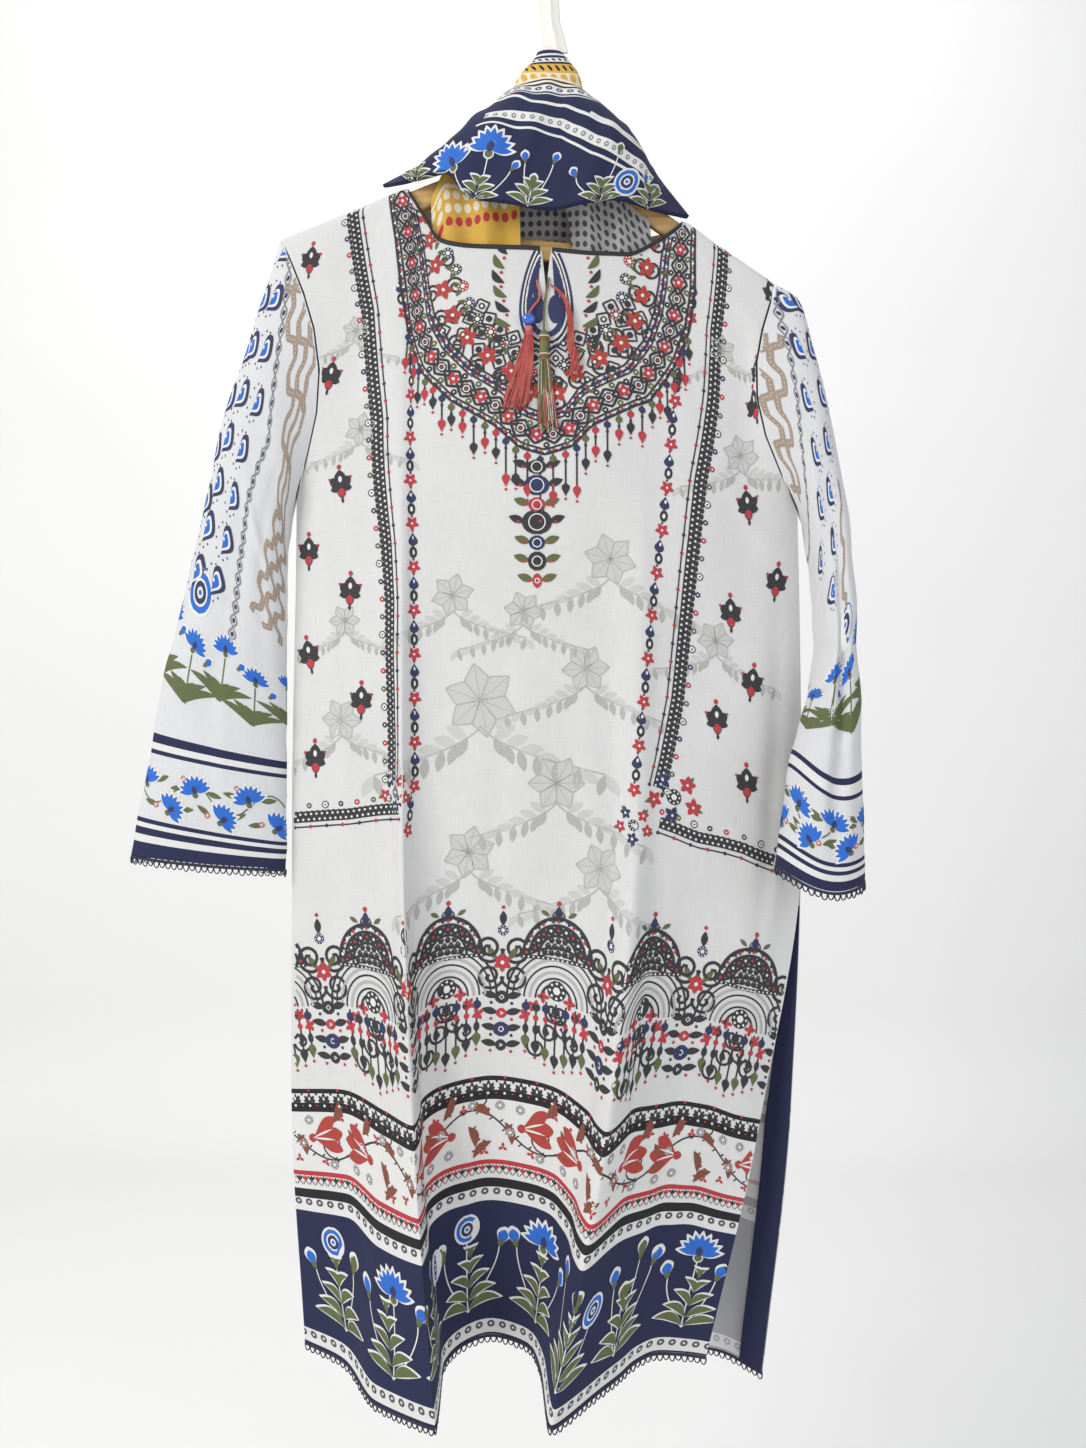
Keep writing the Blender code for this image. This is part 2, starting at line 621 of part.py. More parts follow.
def crown():
    """The stretch that wraps the hanger's stem and falls behind, longest at the back."""
    grid = []
    heights = [row[0] for row in CROWN_RINGS]
    for i in range(CROWN_ROWS + 1):
        share = i / CROWN_ROWS
        z = heights[0] + (heights[-1] - heights[0]) * share ** 0.9
        order = heights[::-1]
        table = [[row[k] for row in CROWN_RINGS][::-1] for k in (1, 2, 3, 4)]
        left, right, front, back = [glide(order, column, z) for column in table]
        ring = []
        for k in range(CROWN_FACES_AROUND):
            turn = 2 * math.pi * k / CROWN_FACES_AROUND
            x = (left + right) / 2 - math.cos(turn) * (right - left) / 2
            y = front * math.sin(turn) if turn <= math.pi else -back * math.sin(turn)
            pleat = 1 + CROWN_PLEAT * math.sin(5 * turn + 1.0) * share
            fall = CROWN_BACK_LENGTH * max(0.0, -math.sin(turn)) * share ** 2
            ring.append((x, y * pleat, z - fall))
        grid.append(ring)
    grid = np.array(grid)
    out = normals(grid, closed=True)
    if (out * (grid - grid.mean(axis=1, keepdims=True))).sum() < 0:
        out = -out
    return shell("dupatta_crown", grid, grid - out * SHAWL_WALL, "gold_print", closed=True)


def arm_top(x):
    """Top of the hanger's arms: the shoulder slopes, rounded over at the middle."""
    left_slope = (LEFT_NECK[1] - LEFT_TIP[1]) / (LEFT_NECK[0] - LEFT_TIP[0])
    right_slope = (RIGHT_TIP[1] - RIGHT_NECK[1]) / (RIGHT_TIP[0] - RIGHT_NECK[0])
    left = LEFT_TIP[1] + left_slope * (x - LEFT_TIP[0])
    right = RIGHT_NECK[1] + right_slope * (x - RIGHT_NECK[0])
    soft = math.sqrt((left - right) ** 2 + ARM_PEAK_ROUNDING ** 2)
    return (left + right - soft) / 2 - ARM_BELOW_SHOULDER


def wood_beam(name, stations, height_half, thick_half):
    """A rounded wooden beam through stations of x and z, ten-sided, slimmer at its ends."""
    work = bmesh.new()
    sides = 10
    loops = []
    for i, (x, z) in enumerate(stations):
        slim = BEAM_END if i in (0, len(stations) - 1) else 1.0
        loop = []
        for k in range(sides):
            turn = 2 * math.pi * (k + 0.5) / sides
            flat = abs(math.cos(turn)) ** 0.6 * math.copysign(1, math.cos(turn))
            tall = abs(math.sin(turn)) ** 0.6 * math.copysign(1, math.sin(turn))
            y = flat * thick_half * slim
            loop.append(work.verts.new((x * MM, y * MM, (z + tall * height_half * slim) * MM)))
        loops.append(loop)
    for before, after in zip(loops[:-1], loops[1:]):
        for k in range(sides):
            work.faces.new((before[k], before[(k + 1) % sides], after[(k + 1) % sides], after[k]))
    work.faces.new(loops[0])
    work.faces.new(loops[-1])
    bmesh.ops.recalc_face_normals(work, faces=work.faces)
    mesh = bpy.data.meshes.new(name)
    work.to_mesh(mesh)
    work.free()
    return add_object(name, mesh, "wood")


def hanger():
    """Shaped arms and the trouser bar, joined as one wooden piece."""
    count = 18
    spots = [ARM_LEFT_END + (ARM_RIGHT_END - ARM_LEFT_END) * i / count for i in range(count + 1)]
    middle = [(x, arm_top(x) - ARM_HEIGHT / 2) for x in spots]
    arms = wood_beam("hanger", middle, ARM_HEIGHT / 2, ARM_THICKNESS / 2)
    bar_half = (BAR_HEIGHT / 2 / BEAM_END, BAR_THICKNESS / 2 / BEAM_END)
    bar = wood_beam("hanger_bar_shape", (BAR_LEFT, BAR_RIGHT), *bar_half)
    bar.hide_render = True
    bar.display_type = "WIRE"
    joined = arms.modifiers.new("bar", "BOOLEAN")
    joined.operation = "UNION"
    joined.object = bar
    joined.solver = "EXACT"


def stem():
    """The steel stem that stands on the arms' middle and carries the hanger."""
    foot = arm_top(STEM_X) + STEM_STAND
    work = bmesh.new()
    radius = STEM_RADIUS * MM
    depth = (STEM_TOP - foot) * MM
    bmesh.ops.create_cone(work, cap_ends=True, segments=12, radius1=radius, radius2=radius, depth=depth)
    bmesh.ops.translate(work, verts=work.verts, vec=(STEM_X * MM, 0, (STEM_TOP + foot) / 2 * MM))
    mesh = bpy.data.meshes.new("hanger_stem")
    work.to_mesh(mesh)
    work.free()
    add_object("hanger_stem", mesh, "steel")


def hook():
    """The white flat hook: a strap bent over at the top and flared at its foot."""
    middle = HOOK_RADIUS + HOOK_THICKNESS / 2
    stations = list(HOOK_SHANK) + [(0.0, -middle, -20.0, HOOK_WIDTH)]
    for k in range(9):
        turn = math.pi * k / 8
        y = -middle * math.cos(turn)
        z = -HOOK_RADIUS + middle * math.sin(turn)
        stations.append((0.0, y, z, HOOK_WIDTH))
    stations.append((0.0, middle, -HOOK_TAIL, HOOK_TAIL_WIDTH))
    path = np.array([(s[1], s[2]) for s in stations])
    along = np.gradient(path, axis=0)
    along /= np.linalg.norm(along, axis=1, keepdims=True)
    across_wall = np.stack((-along[:, 1], along[:, 0]), axis=1)
    front, back = [], []
    for (x, y, z, width), (wall_y, wall_z) in zip(stations, across_wall):
        for sheet, sign in ((front, 1), (back, -1)):
            half = sign * HOOK_THICKNESS / 2
            point = (y + wall_y * half, z + wall_z * half)
            sheet.append([(x - width / 2, *point), (x + width / 2, *point)])
    shell("hook", np.array(front, dtype=float), np.array(back, dtype=float), "white_plastic")


def sheet_tree(grid):
    """A search tree of the front's outer sheet, with the neck slit closed."""
    height, width = grid.shape[:2]
    cells = []
    for i in range(height - 1):
        for j in range(width - 1):
            start = i * width + j
            cells.append((start, start + width, start + width + 1, start + 1))
    return BVHTree.FromPolygons([tuple(point * MM) for point in grid.reshape(-1, 3)], cells)


def yoke_y(tree, x, z, half=0.0):
    """How far forward the front panel reaches at a place on the yoke, or within half a width of it."""
    found = []
    for step_x in (-half, 0.0, half):
        for step_z in (-half, 0.0, half):
            origin = ((x + step_x) * MM, -1.0, (z + step_z) * MM)
            found.append(tree.ray_cast(origin, (0.0, 1.0, 0.0))[0].y / MM)
    return min(found)


def cord(name, route, tree, finish_name):
    """One twisted cord of the neck tie, a round tube along a smooth route on the yoke."""
    spots = list(range(len(route)))
    curve = bpy.data.curves.new(name, "CURVE")
    curve.dimensions = "3D"
    curve.bevel_depth = CORD_RADIUS * MM
    curve.bevel_resolution = 2
    curve.use_fill_caps = True
    spline = curve.splines.new("POLY")
    spline.points.add(CORD_POINTS - 1)
    for i in range(CORD_POINTS):
        at = spots[-1] * i / (CORD_POINTS - 1)
        x = glide(spots, [p[0] for p in route], at)
        z = glide(spots, [p[1] for p in route], at)
        lift = glide(spots, [p[2] for p in route], at)
        y = yoke_y(tree, x, z, CORD_RADIUS) - TIE_STAND - CORD_RADIUS - lift
        spline.points[i].co = (x * MM, y * MM, z * MM, 1.0)
    curve.materials.append(finish(finish_name))
    made = bpy.data.objects.new(name, curve)
    bpy.context.scene.collection.objects.link(made)


def bead(tree):
    x, z = BEAD_CENTRE
    work = bmesh.new()
    bmesh.ops.create_uvsphere(work, u_segments=10, v_segments=7, radius=BEAD_RADIUS * MM)
    depth = yoke_y(tree, x, z, BEAD_RADIUS / 2) - TIE_STAND - BEAD_RADIUS * BEAD_SHAPE[1]
    bmesh.ops.scale(work, verts=work.verts, vec=BEAD_SHAPE)
    bmesh.ops.translate(work, verts=work.verts, vec=(x * MM, depth * MM, z * MM))
    mesh = bpy.data.meshes.new("tie_bead")
    work.to_mesh(mesh)
    work.free()
    add_object("tie_bead", mesh, "glass")


def strand_head(work, place, radius, length, cells):
    """A wound head whose lower face is a grid of cells. Returns those faces, row by row."""
    wide, deep = cells
    x, y, z = place

    def spot(i, j, share, size):
        u, v = 2 * i / wide - 1, 2 * j / deep - 1
        reach_x = radius * size * u * math.sqrt(1 - v * v / 2)
        reach_y = HEAD_DEPTH * radius * size * v * math.sqrt(1 - u * u / 2)
        return work.verts.new(((x + reach_x) * MM, (y + reach_y) * MM, (z - length * share) * MM))

    border = [(i, 0) for i in range(wide)] + [(wide, j) for j in range(deep)]
    border += [(i, deep) for i in range(wide, 0, -1)] + [(0, j) for j in range(deep, 0, -1)]
    foot = [[spot(i, j, 1.0, HEAD_RINGS[-1][1]) for i in range(wide + 1)] for j in range(deep + 1)]
    rings = [[spot(i, j, share, size) for i, j in border] for share, size in HEAD_RINGS[:-1]]
    rings.append([foot[j][i] for i, j in border])
    for before, after in zip(rings[:-1], rings[1:]):
        for k in range(len(border)):
            n = (k + 1) % len(border)
            work.faces.new((before[k], before[n], after[n], after[k]))
    work.faces.new(rings[0])
    faces = []
    for j in range(deep):
        for i in range(wide):
            corners = (foot[j][i], foot[j][i + 1], foot[j + 1][i + 1], foot[j + 1][i])
            faces.append(work.faces.new(corners))
    return faces


def strands(name, place, radius, length, cells, steps, finish_name):
    """A wound head with a strand drawn out of each cell of its lower face, all one closed body."""
    work = bmesh.new()
    faces = strand_head(work, place, radius, length, cells)
    work.normal_update()
    bmesh.ops.inset_individual(work, faces=faces, thickness=STRAND_INSET * MM)
    for k, face in enumerate(faces):
        start = np.array(face.calc_center_median())
        spot = (k % cells[0] + 0.5) / cells[0] * 2 - 1
        layer = k // cells[0]
        for target in steps(spot, layer):
            face = bmesh.ops.extrude_discrete_faces(work, faces=[face])["faces"][0]
            middle = np.array(face.calc_center_median())
            shift = start + np.array(target) * MM - middle
            for vert in face.verts:
                vert.co = middle + shift + (np.array(vert.co) - middle) * STRAND_TAPER
    bmesh.ops.recalc_face_normals(work, faces=work.faces)
    mesh = bpy.data.meshes.new(name)
    work.to_mesh(mesh)
    work.free()
    add_object(name, mesh, finish_name)


def head_depth(tree, x, z, radius, length):
    near = min(yoke_y(tree, x, z, radius), yoke_y(tree, x, z - length, radius))
    return near - TIE_STAND - HEAD_DEPTH * radius


def tassel(name, x, z, radius, length, reach, spread_out, lean, tree, finish_name):
    """A tassel that lies on the yoke, its strands spreading as they fall."""
    head_y = head_depth(tree, x, z, radius, length)
    layers = TASSEL_CELLS[1]
    layer_pitch = 2 * HEAD_DEPTH * radius / layers

    def steps(spot, layer):
        uneven = STRAND_UNEVEN * math.sin(5.1 * spot + 2.0 * layer)
        root_y = HEAD_DEPTH * radius * (2 * (layer + 0.5) / layers - 1)
        made = []
        for share in (0.25, 0.5, 0.75, 1.0):
            x_step = spread_out * spot * share ** 0.8 + lean * share ** 1.4
            z_step = -reach * share * (1 + uneven * share ** 2)
            lie_y = yoke_y(tree, x + x_step, z - length + z_step, 2.0) - STRAND_LIFT
            lie_y -= layer_pitch * (layers - 1 - layer)
            made.append((x_step, (lie_y - head_y - root_y) * share, z_step))
        return made

    strands(name, (x, head_y, z), radius, length, TASSEL_CELLS, steps, finish_name)


def skein(tree):
    """The loose salmon threads that fall to the right of the knot."""
    x, z = SKEIN_TOP
    head_y = head_depth(tree, x, z, SKEIN_HEAD_RADIUS, SKEIN_HEAD_LENGTH)
    layers = SKEIN_CELLS[1]
    layer_pitch = 2 * HEAD_DEPTH * SKEIN_HEAD_RADIUS / layers

    def steps(spot, layer):
        root_y = HEAD_DEPTH * SKEIN_HEAD_RADIUS * (2 * (layer + 0.5) / layers - 1)
        made = []
        for i, (dx, dz) in enumerate(SKEIN_ROUTE, start=1):
            share = i / len(SKEIN_ROUTE)
            x_step = dx + (1.0 + 4.0 * share) * spot
            z_step = dz * (1 + STRAND_UNEVEN * math.cos(4.0 * spot + layer) * share ** 2)
            lie_y = yoke_y(tree, x + x_step, z - SKEIN_HEAD_LENGTH + z_step, 2.0) - STRAND_LIFT
            lie_y -= layer_pitch * (layers - 1 - layer)
            made.append((x_step, (lie_y - head_y - root_y) * min(1.0, 2 * share), z_step))
        return made

    strands("tie_skein", (x, head_y, z), SKEIN_HEAD_RADIUS, SKEIN_HEAD_LENGTH, SKEIN_CELLS, steps, "thread")


clear_scene()

front_grid = body_panel("front", FRONT_LINES, -1, front_gap)
back_grid = body_panel("back", BACK_LINES, 1)
left_rings = sleeve("sleeve_left", SLEEVE_LEFT, True)
right_rings = sleeve("sleeve_right", SLEEVE_RIGHT, False)

left_places = spread(NECK_LEFT_LINE + BINDING_START, SLIT_LEFT_LINE, BINDING_STEPS)
right_places = spread(SLIT_LEFT_LINE + 1, NECK_RIGHT_LINE - BINDING_START, BINDING_STEPS)
back_ends = (BACK_NECK_LEFT_LINE + BINDING_START, BACK_NECK_RIGHT_LINE - BINDING_START)
back_places = spread(*back_ends, BINDING_STEPS)
binding("neck_binding_left", left_places, FRONT_LINES, -1)
binding("neck_binding_right", right_places, FRONT_LINES, -1)
binding("neck_binding_back", back_places, BACK_LINES, 1)
facing_strip()

wall_in = WALL / 2
lace("lace_hem_front", front_grid[-1] + np.array((0, wall_in, 0)))
lace("lace_hem_back", back_grid[-1] - np.array((0, wall_in, 0)))
for cuff, rings in (("lace_cuff_left", left_rings), ("lace_cuff_right", right_rings)):
    middle = rings[-1].mean(axis=0)
    lace(cuff, middle + (rings[-1] - middle) * CUFF_LACE_SHARE, closed=True)

draped_sheet("dupatta_hood", HOOD_LINES, 3, 2, -1, "navy", HOOD_TURN)
crown()
draped_sheet("dupatta_fold_left", FOLD_LEFT, 2, 2, -1, "gold_print")
draped_sheet("dupatta_fold_right", FOLD_RIGHT, 2, 2, -1, "grey_print")
draped_sheet("dupatta_back", BACK_STRETCH, 2, 2, -1, "grey_print")

hanger()
stem()
hook()

yoke_tree = sheet_tree(front_grid)
cord("tie_cord_left", CORD_LEFT_ROUTE, yoke_tree, "thread")
cord("tie_cord_right", CORD_RIGHT_ROUTE, yoke_tree, "olive_thread")
bead(yoke_tree)
for tassel_row, thread in zip(TASSELS, ("thread", "olive_thread")):
    tassel(*tassel_row, yoke_tree, thread)
skein(yoke_tree)
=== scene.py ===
import math

import bpy
import numpy as np
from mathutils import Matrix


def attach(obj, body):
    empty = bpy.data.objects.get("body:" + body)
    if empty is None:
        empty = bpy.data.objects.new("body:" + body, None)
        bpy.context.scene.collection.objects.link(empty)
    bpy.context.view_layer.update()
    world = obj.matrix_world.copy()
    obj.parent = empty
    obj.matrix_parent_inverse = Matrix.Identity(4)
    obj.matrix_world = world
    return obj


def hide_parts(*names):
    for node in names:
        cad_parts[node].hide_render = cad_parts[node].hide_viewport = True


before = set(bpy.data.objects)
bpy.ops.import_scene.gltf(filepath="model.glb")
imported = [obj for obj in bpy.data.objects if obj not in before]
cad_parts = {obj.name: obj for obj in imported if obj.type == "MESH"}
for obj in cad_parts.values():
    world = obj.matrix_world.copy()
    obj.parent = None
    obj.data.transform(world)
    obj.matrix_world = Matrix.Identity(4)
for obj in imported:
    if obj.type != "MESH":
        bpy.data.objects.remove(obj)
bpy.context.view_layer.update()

# View and room
# The camera stands level before the middle of the suit. The wall and the floor are plain pale
# surfaces, and soft lights stand in for daylight from the upper left.
MM = 0.001
CAMERA_PLACE = (-0.0036, -1.05, -0.7056)
CAMERA_LENS = 29.0
PIXEL_MM = 0.9
CENTRE_PIXEL = (543.0, 724.0)
WALL_COLOUR = (0.84, 0.84, 0.83)
WALL_Y = 1.9
FLOOR_Z = -1.72
ROOM_HALF = 4.0

eye = bpy.data.cameras.new("view")
eye.lens = CAMERA_LENS
eye.sensor_width = 36.0
eye.clip_start = 0.05
eye.clip_end = 30.0
camera = bpy.data.objects.new("view", eye)
camera.location = CAMERA_PLACE
camera.rotation_euler = (math.radians(90), 0, 0)
bpy.context.scene.collection.objects.link(camera)
bpy.context.scene.camera = camera
bpy.context.scene.view_settings.view_transform = "Standard"


def put(tree, kind, inputs=(), **settings):
    """A shader node with its settings, and its sockets set or linked by name or number."""
    made = tree.nodes.new(kind)
    for name, value in settings.items():
        setattr(made, name, value)
    for name, value in dict(inputs).items():
        if isinstance(value, bpy.types.NodeSocket):
            tree.links.new(value, made.inputs[name])
        else:
            made.inputs[name].default_value = value
    return made


def new_finish(name):
    """A material with an empty tree but for its shader and output."""
    made = bpy.data.materials.new(name)
    made.use_nodes = True
    return made, made.node_tree, made.node_tree.nodes["Principled BSDF"]


def two_tones(tree, shader, share, tone, light):
    """The base colour runs between two close tones, by a share that another node gives."""
    mix = put(tree, "ShaderNodeMix", {0: share, 6: (*tone, 1), 7: (*light, 1)}, data_type="RGBA")
    tree.links.new(mix.outputs[2], shader.inputs["Base Color"])


def link_object(name, data):
    made = bpy.data.objects.new(name, data)
    bpy.context.scene.collection.objects.link(made)
    return made


plaster, tree, shader = new_finish("plaster")
grain = put(tree, "ShaderNodeTexNoise", {"Scale": 9.0, "Detail": 3.0})
two_tones(tree, shader, grain.outputs["Fac"], [c * 0.97 for c in WALL_COLOUR],
          [c * 1.03 for c in WALL_COLOUR])
shader.inputs["Roughness"].default_value = 0.9

cove = 0.3
profile = [(WALL_Y, 3.2), (WALL_Y, FLOOR_Z + cove)]
for k in range(1, 9):
    turn = math.pi / 2 * k / 8
    profile.append((WALL_Y - cove + cove * math.cos(turn), FLOOR_Z + cove - cove * math.sin(turn)))
profile.append((-ROOM_HALF, FLOOR_Z))
corners = []
for x in (-ROOM_HALF, ROOM_HALF):
    corners += [(x, y, z) for y, z in profile]
room_mesh = bpy.data.meshes.new("room")
count = len(profile)
room_mesh.from_pydata(corners, [], [(k, k + 1, count + k + 1, count + k) for k in range(count - 1)])
room_mesh.shade_smooth()
room_mesh.materials.append(plaster)
room = link_object("room", room_mesh)

LIGHTS = (
    # name, place, aim, size, watts, colour
    ("window", (-2.2, -1.7, 0.6), (0.0, 0.0, -0.7), 1.4, 66.0, (1.0, 0.98, 0.95)),
    ("fill", (1.9, -2.0, -0.4), (0.0, 0.0, -0.8), 2.0, 20.0, (0.95, 0.97, 1.0)),
    ("bounce", (0.0, -1.8, -1.6), (0.0, 0.0, -0.8), 1.6, 8.0, (1.0, 0.97, 0.94)),
    ("backdrop", (0.0, 0.7, 1.6), (0.0, 1.9, -0.7), 2.4, 26.0, (1.0, 1.0, 1.0)),
)
for name, place, aim, size, watts, colour in LIGHTS:
    lamp = bpy.data.lights.new(name, "AREA")
    lamp.size = size
    lamp.energy = watts
    lamp.color = colour
    made = link_object(name, lamp)
    made.location = place
    sight = np.array(aim) - np.array(place)
    made.rotation_euler = (
        math.atan2(math.hypot(sight[0], sight[1]), -sight[2]),
        0.0,
        math.atan2(sight[0], -sight[1]) + math.pi,
    )
sky = bpy.data.worlds.new("sky")
sky.use_nodes = True
sky.node_tree.nodes["Background"].inputs["Color"].default_value = (0.9, 0.92, 0.95, 1)
sky.node_tree.nodes["Background"].inputs["Strength"].default_value = 0.5
bpy.context.scene.world = sky

# Front panel of the kameez
# Plain-woven lawn, cut in one piece from the shoulder to the hem and open down both sides below the
# hip. Its fold lines run from the shoulder to the hem; every print and stitch lies on this sheet.
CHEST = 504.0
WAIST = 780.0
THIGH = 1013.0
HEM = 1249.0
SEAM_Y = 2.0
TOP_SHARES = (0.0, 0.013, 0.04, 0.10, 0.22, 0.36, 0.52, 0.68, 0.84)
LEFT_TIP = (-238.0, -270.0)
LEFT_UNDERARM = (-225.0, -504.0)
RIGHT_TIP = (205.0, -310.5)
RIGHT_UNDERARM = (225.0, -515.0)
ARMHOLE_FRONT_CURVE = 30.0
ARMHOLE_BACK_CURVE = 14.0
ARMHOLE_DEPTH = 14.0
CLOTH_WALL = 0.7
CELL = 5.0
FRONT_LINES = (
    # name, columns, top edge, chest, waist, thigh, hem
    ("left seam", 2, (-238, -2, -270), (-225, -2, 0), (-229, -2, 9), (-229, -5, 20), (-217, -5, 9)),
    ("left trough", 2, (-205, -2, -256.7), (-180, -16, 0),
     (-183, -15, 5), (-178, -22, 16), (-178, -24, 17)),
    ("left ridge foot", 2, (-160, -2, -238.6), (-146, -24, 0),
     (-139, -30, 2), (-141, -46, 26), (-146, -62, 31)),
    ("left ridge", 1, (-126, -2, -225), (-127, -31, 0), (-125, -46, 2), (-113, -72, 30), (-92, -96, 32)),
    ("neck left turn", 1, (-123.4, -9.8, -229), (-123, -30, 0),
     (-122, -42, 2), (-110, -62, 27), (-90, -72, 22)),
    ("left ridge back", 1, (-109, -12, -252), (-118, -28, 0),
     (-116, -34, 2), (-110, -47, 20), (-90, -46, 12)),
    ("neck left", 2, (-95, -15, -274), (-98, -30, 0), (-96, -30, 1), (-92, -36, 8), (-78, -20, 6)),
    ("middle trough", 3, (-68, -19, -281), (-55, -34, 0), (-52, -34, 0), (-50, -33, 0), (-50, -10, 0)),
    ("slit left", 1, (-6.2, -23, -285), (-5, -36, 0), (-5, -35, 0), (-12, -38, 3), (-24, -20, 1)),
    ("slit right", 2, (4.3, -23, -286), (5, -36, 0), (8, -35, 0), (4, -43, 6), (-13, -32, 2)),
    ("right ridge foot", 2, (46, -22, -289), (48, -35, 1), (56, -34, 1), (33, -62, 20), (-6, -56, 6)),
    ("right ridge", 2, (69, -20, -289), (80, -34, 2), (77, -46, 4), (49, -85, 31), (3, -96, 32)),
    ("right ridge slope", 2, (96, -15, -276.5), (98, -31, 5), (96, -37, 6), (78, -54, 21), (45, -63, 20)),
    ("neck right turn", 1, (120, -9.8, -257.6), (116, -28.5, 7),
     (112, -33, 9), (98, -44, 21), (62, -48, 16)),
    ("neck right", 2, (122.4, -2, -254), (130, -26, 9), (124, -30, 12), (112, -36, 21), (76, -34, 12)),
    ("right trough", 2, (150, -2, -273), (160, -20, 12), (152, -24, 18), (138, -30, 26), (96, -24, 9)),
    ("side fold", 2, (172, -2, -287.9), (183, -14, 13), (187, -19, 27), (166, -20, 38), (122, -22, 11)),
    ("right seam", 0, (205, -2, -310.5), (225, -2, 11), (229, -2, 32), (190, -10, 46), (140, -25, 12)),
)
SLIT_LINE = 8
SLIT_FOOT = 0.185
SLIT_SHUT = 0.10


def run_along(path):
    """Distances from the first point of a path to each of its points."""
    return np.concatenate(((0.0,), np.cumsum(np.linalg.norm(np.diff(path, axis=0), axis=1))))


def slopes(knots, values):
    """Slopes along the first axis that keep a smooth curve from overshooting its own points."""
    steps = np.diff(values, axis=0) / np.maximum(np.diff(knots, axis=0), 1e-6)
    before, after = steps[:-1], steps[1:]
    whole = np.where(before + after == 0, 1.0, before + after)
    middle = np.where(before * after > 0, 2 * before * after / whole, 0.0)
    return np.concatenate((steps[:1], middle, steps[-1:]))


def between(start, end, width, leave, arrive, s):
    """A smooth step from start to end with the slopes it leaves and arrives by."""
    return ((1 + 2 * s) * (1 - s) ** 2 * start + s * (1 - s) ** 2 * width * leave
            + s * s * (3 - 2 * s) * end + s * s * (s - 1) * width * arrive)


def glide(knots, values, at):
    """Values at places on the smooth curve through the knots."""
    knots = np.asarray(knots, dtype=float)
    values = np.asarray(values, dtype=float)
    flat = values.reshape(len(knots), -1)
    at = np.clip(np.asarray(at, dtype=float), knots[0], knots[-1])
    tilt = slopes(knots[:, None], flat)
    i = np.clip(np.searchsorted(knots, at, side="right") - 1, 0, len(knots) - 2)
    width = (knots[i + 1] - knots[i])[:, None]
    s = (at - knots[i])[:, None] / width
    made = between(flat[i], flat[i + 1], width, tilt[i], tilt[i + 1], s)
    return made.reshape((len(at),) + values.shape[1:])


def armhole(left, side, share):
    """Points of an armhole seam, from the shoulder tip (0) to the underarm (1), straight between rows."""
    tip, underarm = (LEFT_TIP, LEFT_UNDERARM) if left else (RIGHT_TIP, RIGHT_UNDERARM)
    curve = (ARMHOLE_FRONT_CURVE if side < 0 else ARMHOLE_BACK_CURVE) * (1 if left else -1)
    marks = np.array(TOP_SHARES + (1.0,))
    bend = np.interp(share, marks, curve * np.sin(math.pi * marks))
    depth = np.interp(share, marks, ARMHOLE_DEPTH * 2 * np.sqrt(marks * (1 - marks)))
    x = tip[0] + (underarm[0] - tip[0]) * share + bend
    return np.stack((x, side * (SEAM_Y + depth), tip[1] + (underarm[1] - tip[1]) * share), axis=-1)


def fold_line(line, shares, grains, side):
    """A fold line's points: shares above the chest, then grains below it. Also its grain values."""
    name, _, top, *levels = line
    start = -top[2]
    down = np.concatenate((start + (CHEST - start) * shares, grains))
    knots = [start, CHEST, WAIST, THIGH, HEM]
    x = glide(knots, [top[0]] + [level[0] for level in levels], down)
    drop = glide(knots, [0.0] + [level[2] for level in levels], down)
    depth_knots, depths = list(knots), [top[1]] + [level[1] for level in levels]
    if abs(top[1]) <= SEAM_Y:
        depth_knots[1:1] = [start + 3, start + 9, start + 45]
        depths[1:1] = [side * 6.9, side * 9.2, side * 13.0]
    made = np.stack((x, glide(depth_knots, depths, down), -down - drop), axis=-1)
    if name.endswith("seam"):
        made[:len(shares)] = armhole(name.startswith("left"), side, shares)
        down[:len(shares)] = -made[:len(shares), 2]
    return made, down


def across(points, places):
    """Points at places between the fold lines, row by row. points is lines x rows x 3."""
    lengths = np.maximum(np.linalg.norm(np.diff(points, axis=0), axis=2), 1e-6)
    spots = np.concatenate((np.zeros((1, points.shape[1])), np.cumsum(lengths, axis=0)))
    tilt = slopes(spots[..., None], points)
    i = np.minimum(places.astype(int), len(points) - 2)
    s = (places - i)[..., None]
    row = np.arange(points.shape[1])[:, None]
    width = (spots[i + 1, row] - spots[i, row])[..., None]
    return between(points[i, row], points[i + 1, row], width, tilt[i, row], tilt[i + 1, row], s)


def facing_out(grid, side, closed=False):
    """Unit normals of a sheet of points that look away from the wearer."""
    down = np.gradient(grid, axis=0)
    if closed:
        along = np.roll(grid, -1, axis=1) - np.roll(grid, 1, axis=1)
    else:
        along = np.gradient(grid, axis=1)
    out = np.cross(along, down)
    out /= np.maximum(np.linalg.norm(out, axis=2, keepdims=True), 1e-9)
    if closed:
        wrong = (out * (grid - grid.mean(axis=1, keepdims=True))).sum() < 0
    else:
        wrong = out[:, :, 1].mean() * side < 0
    return -out if wrong else out


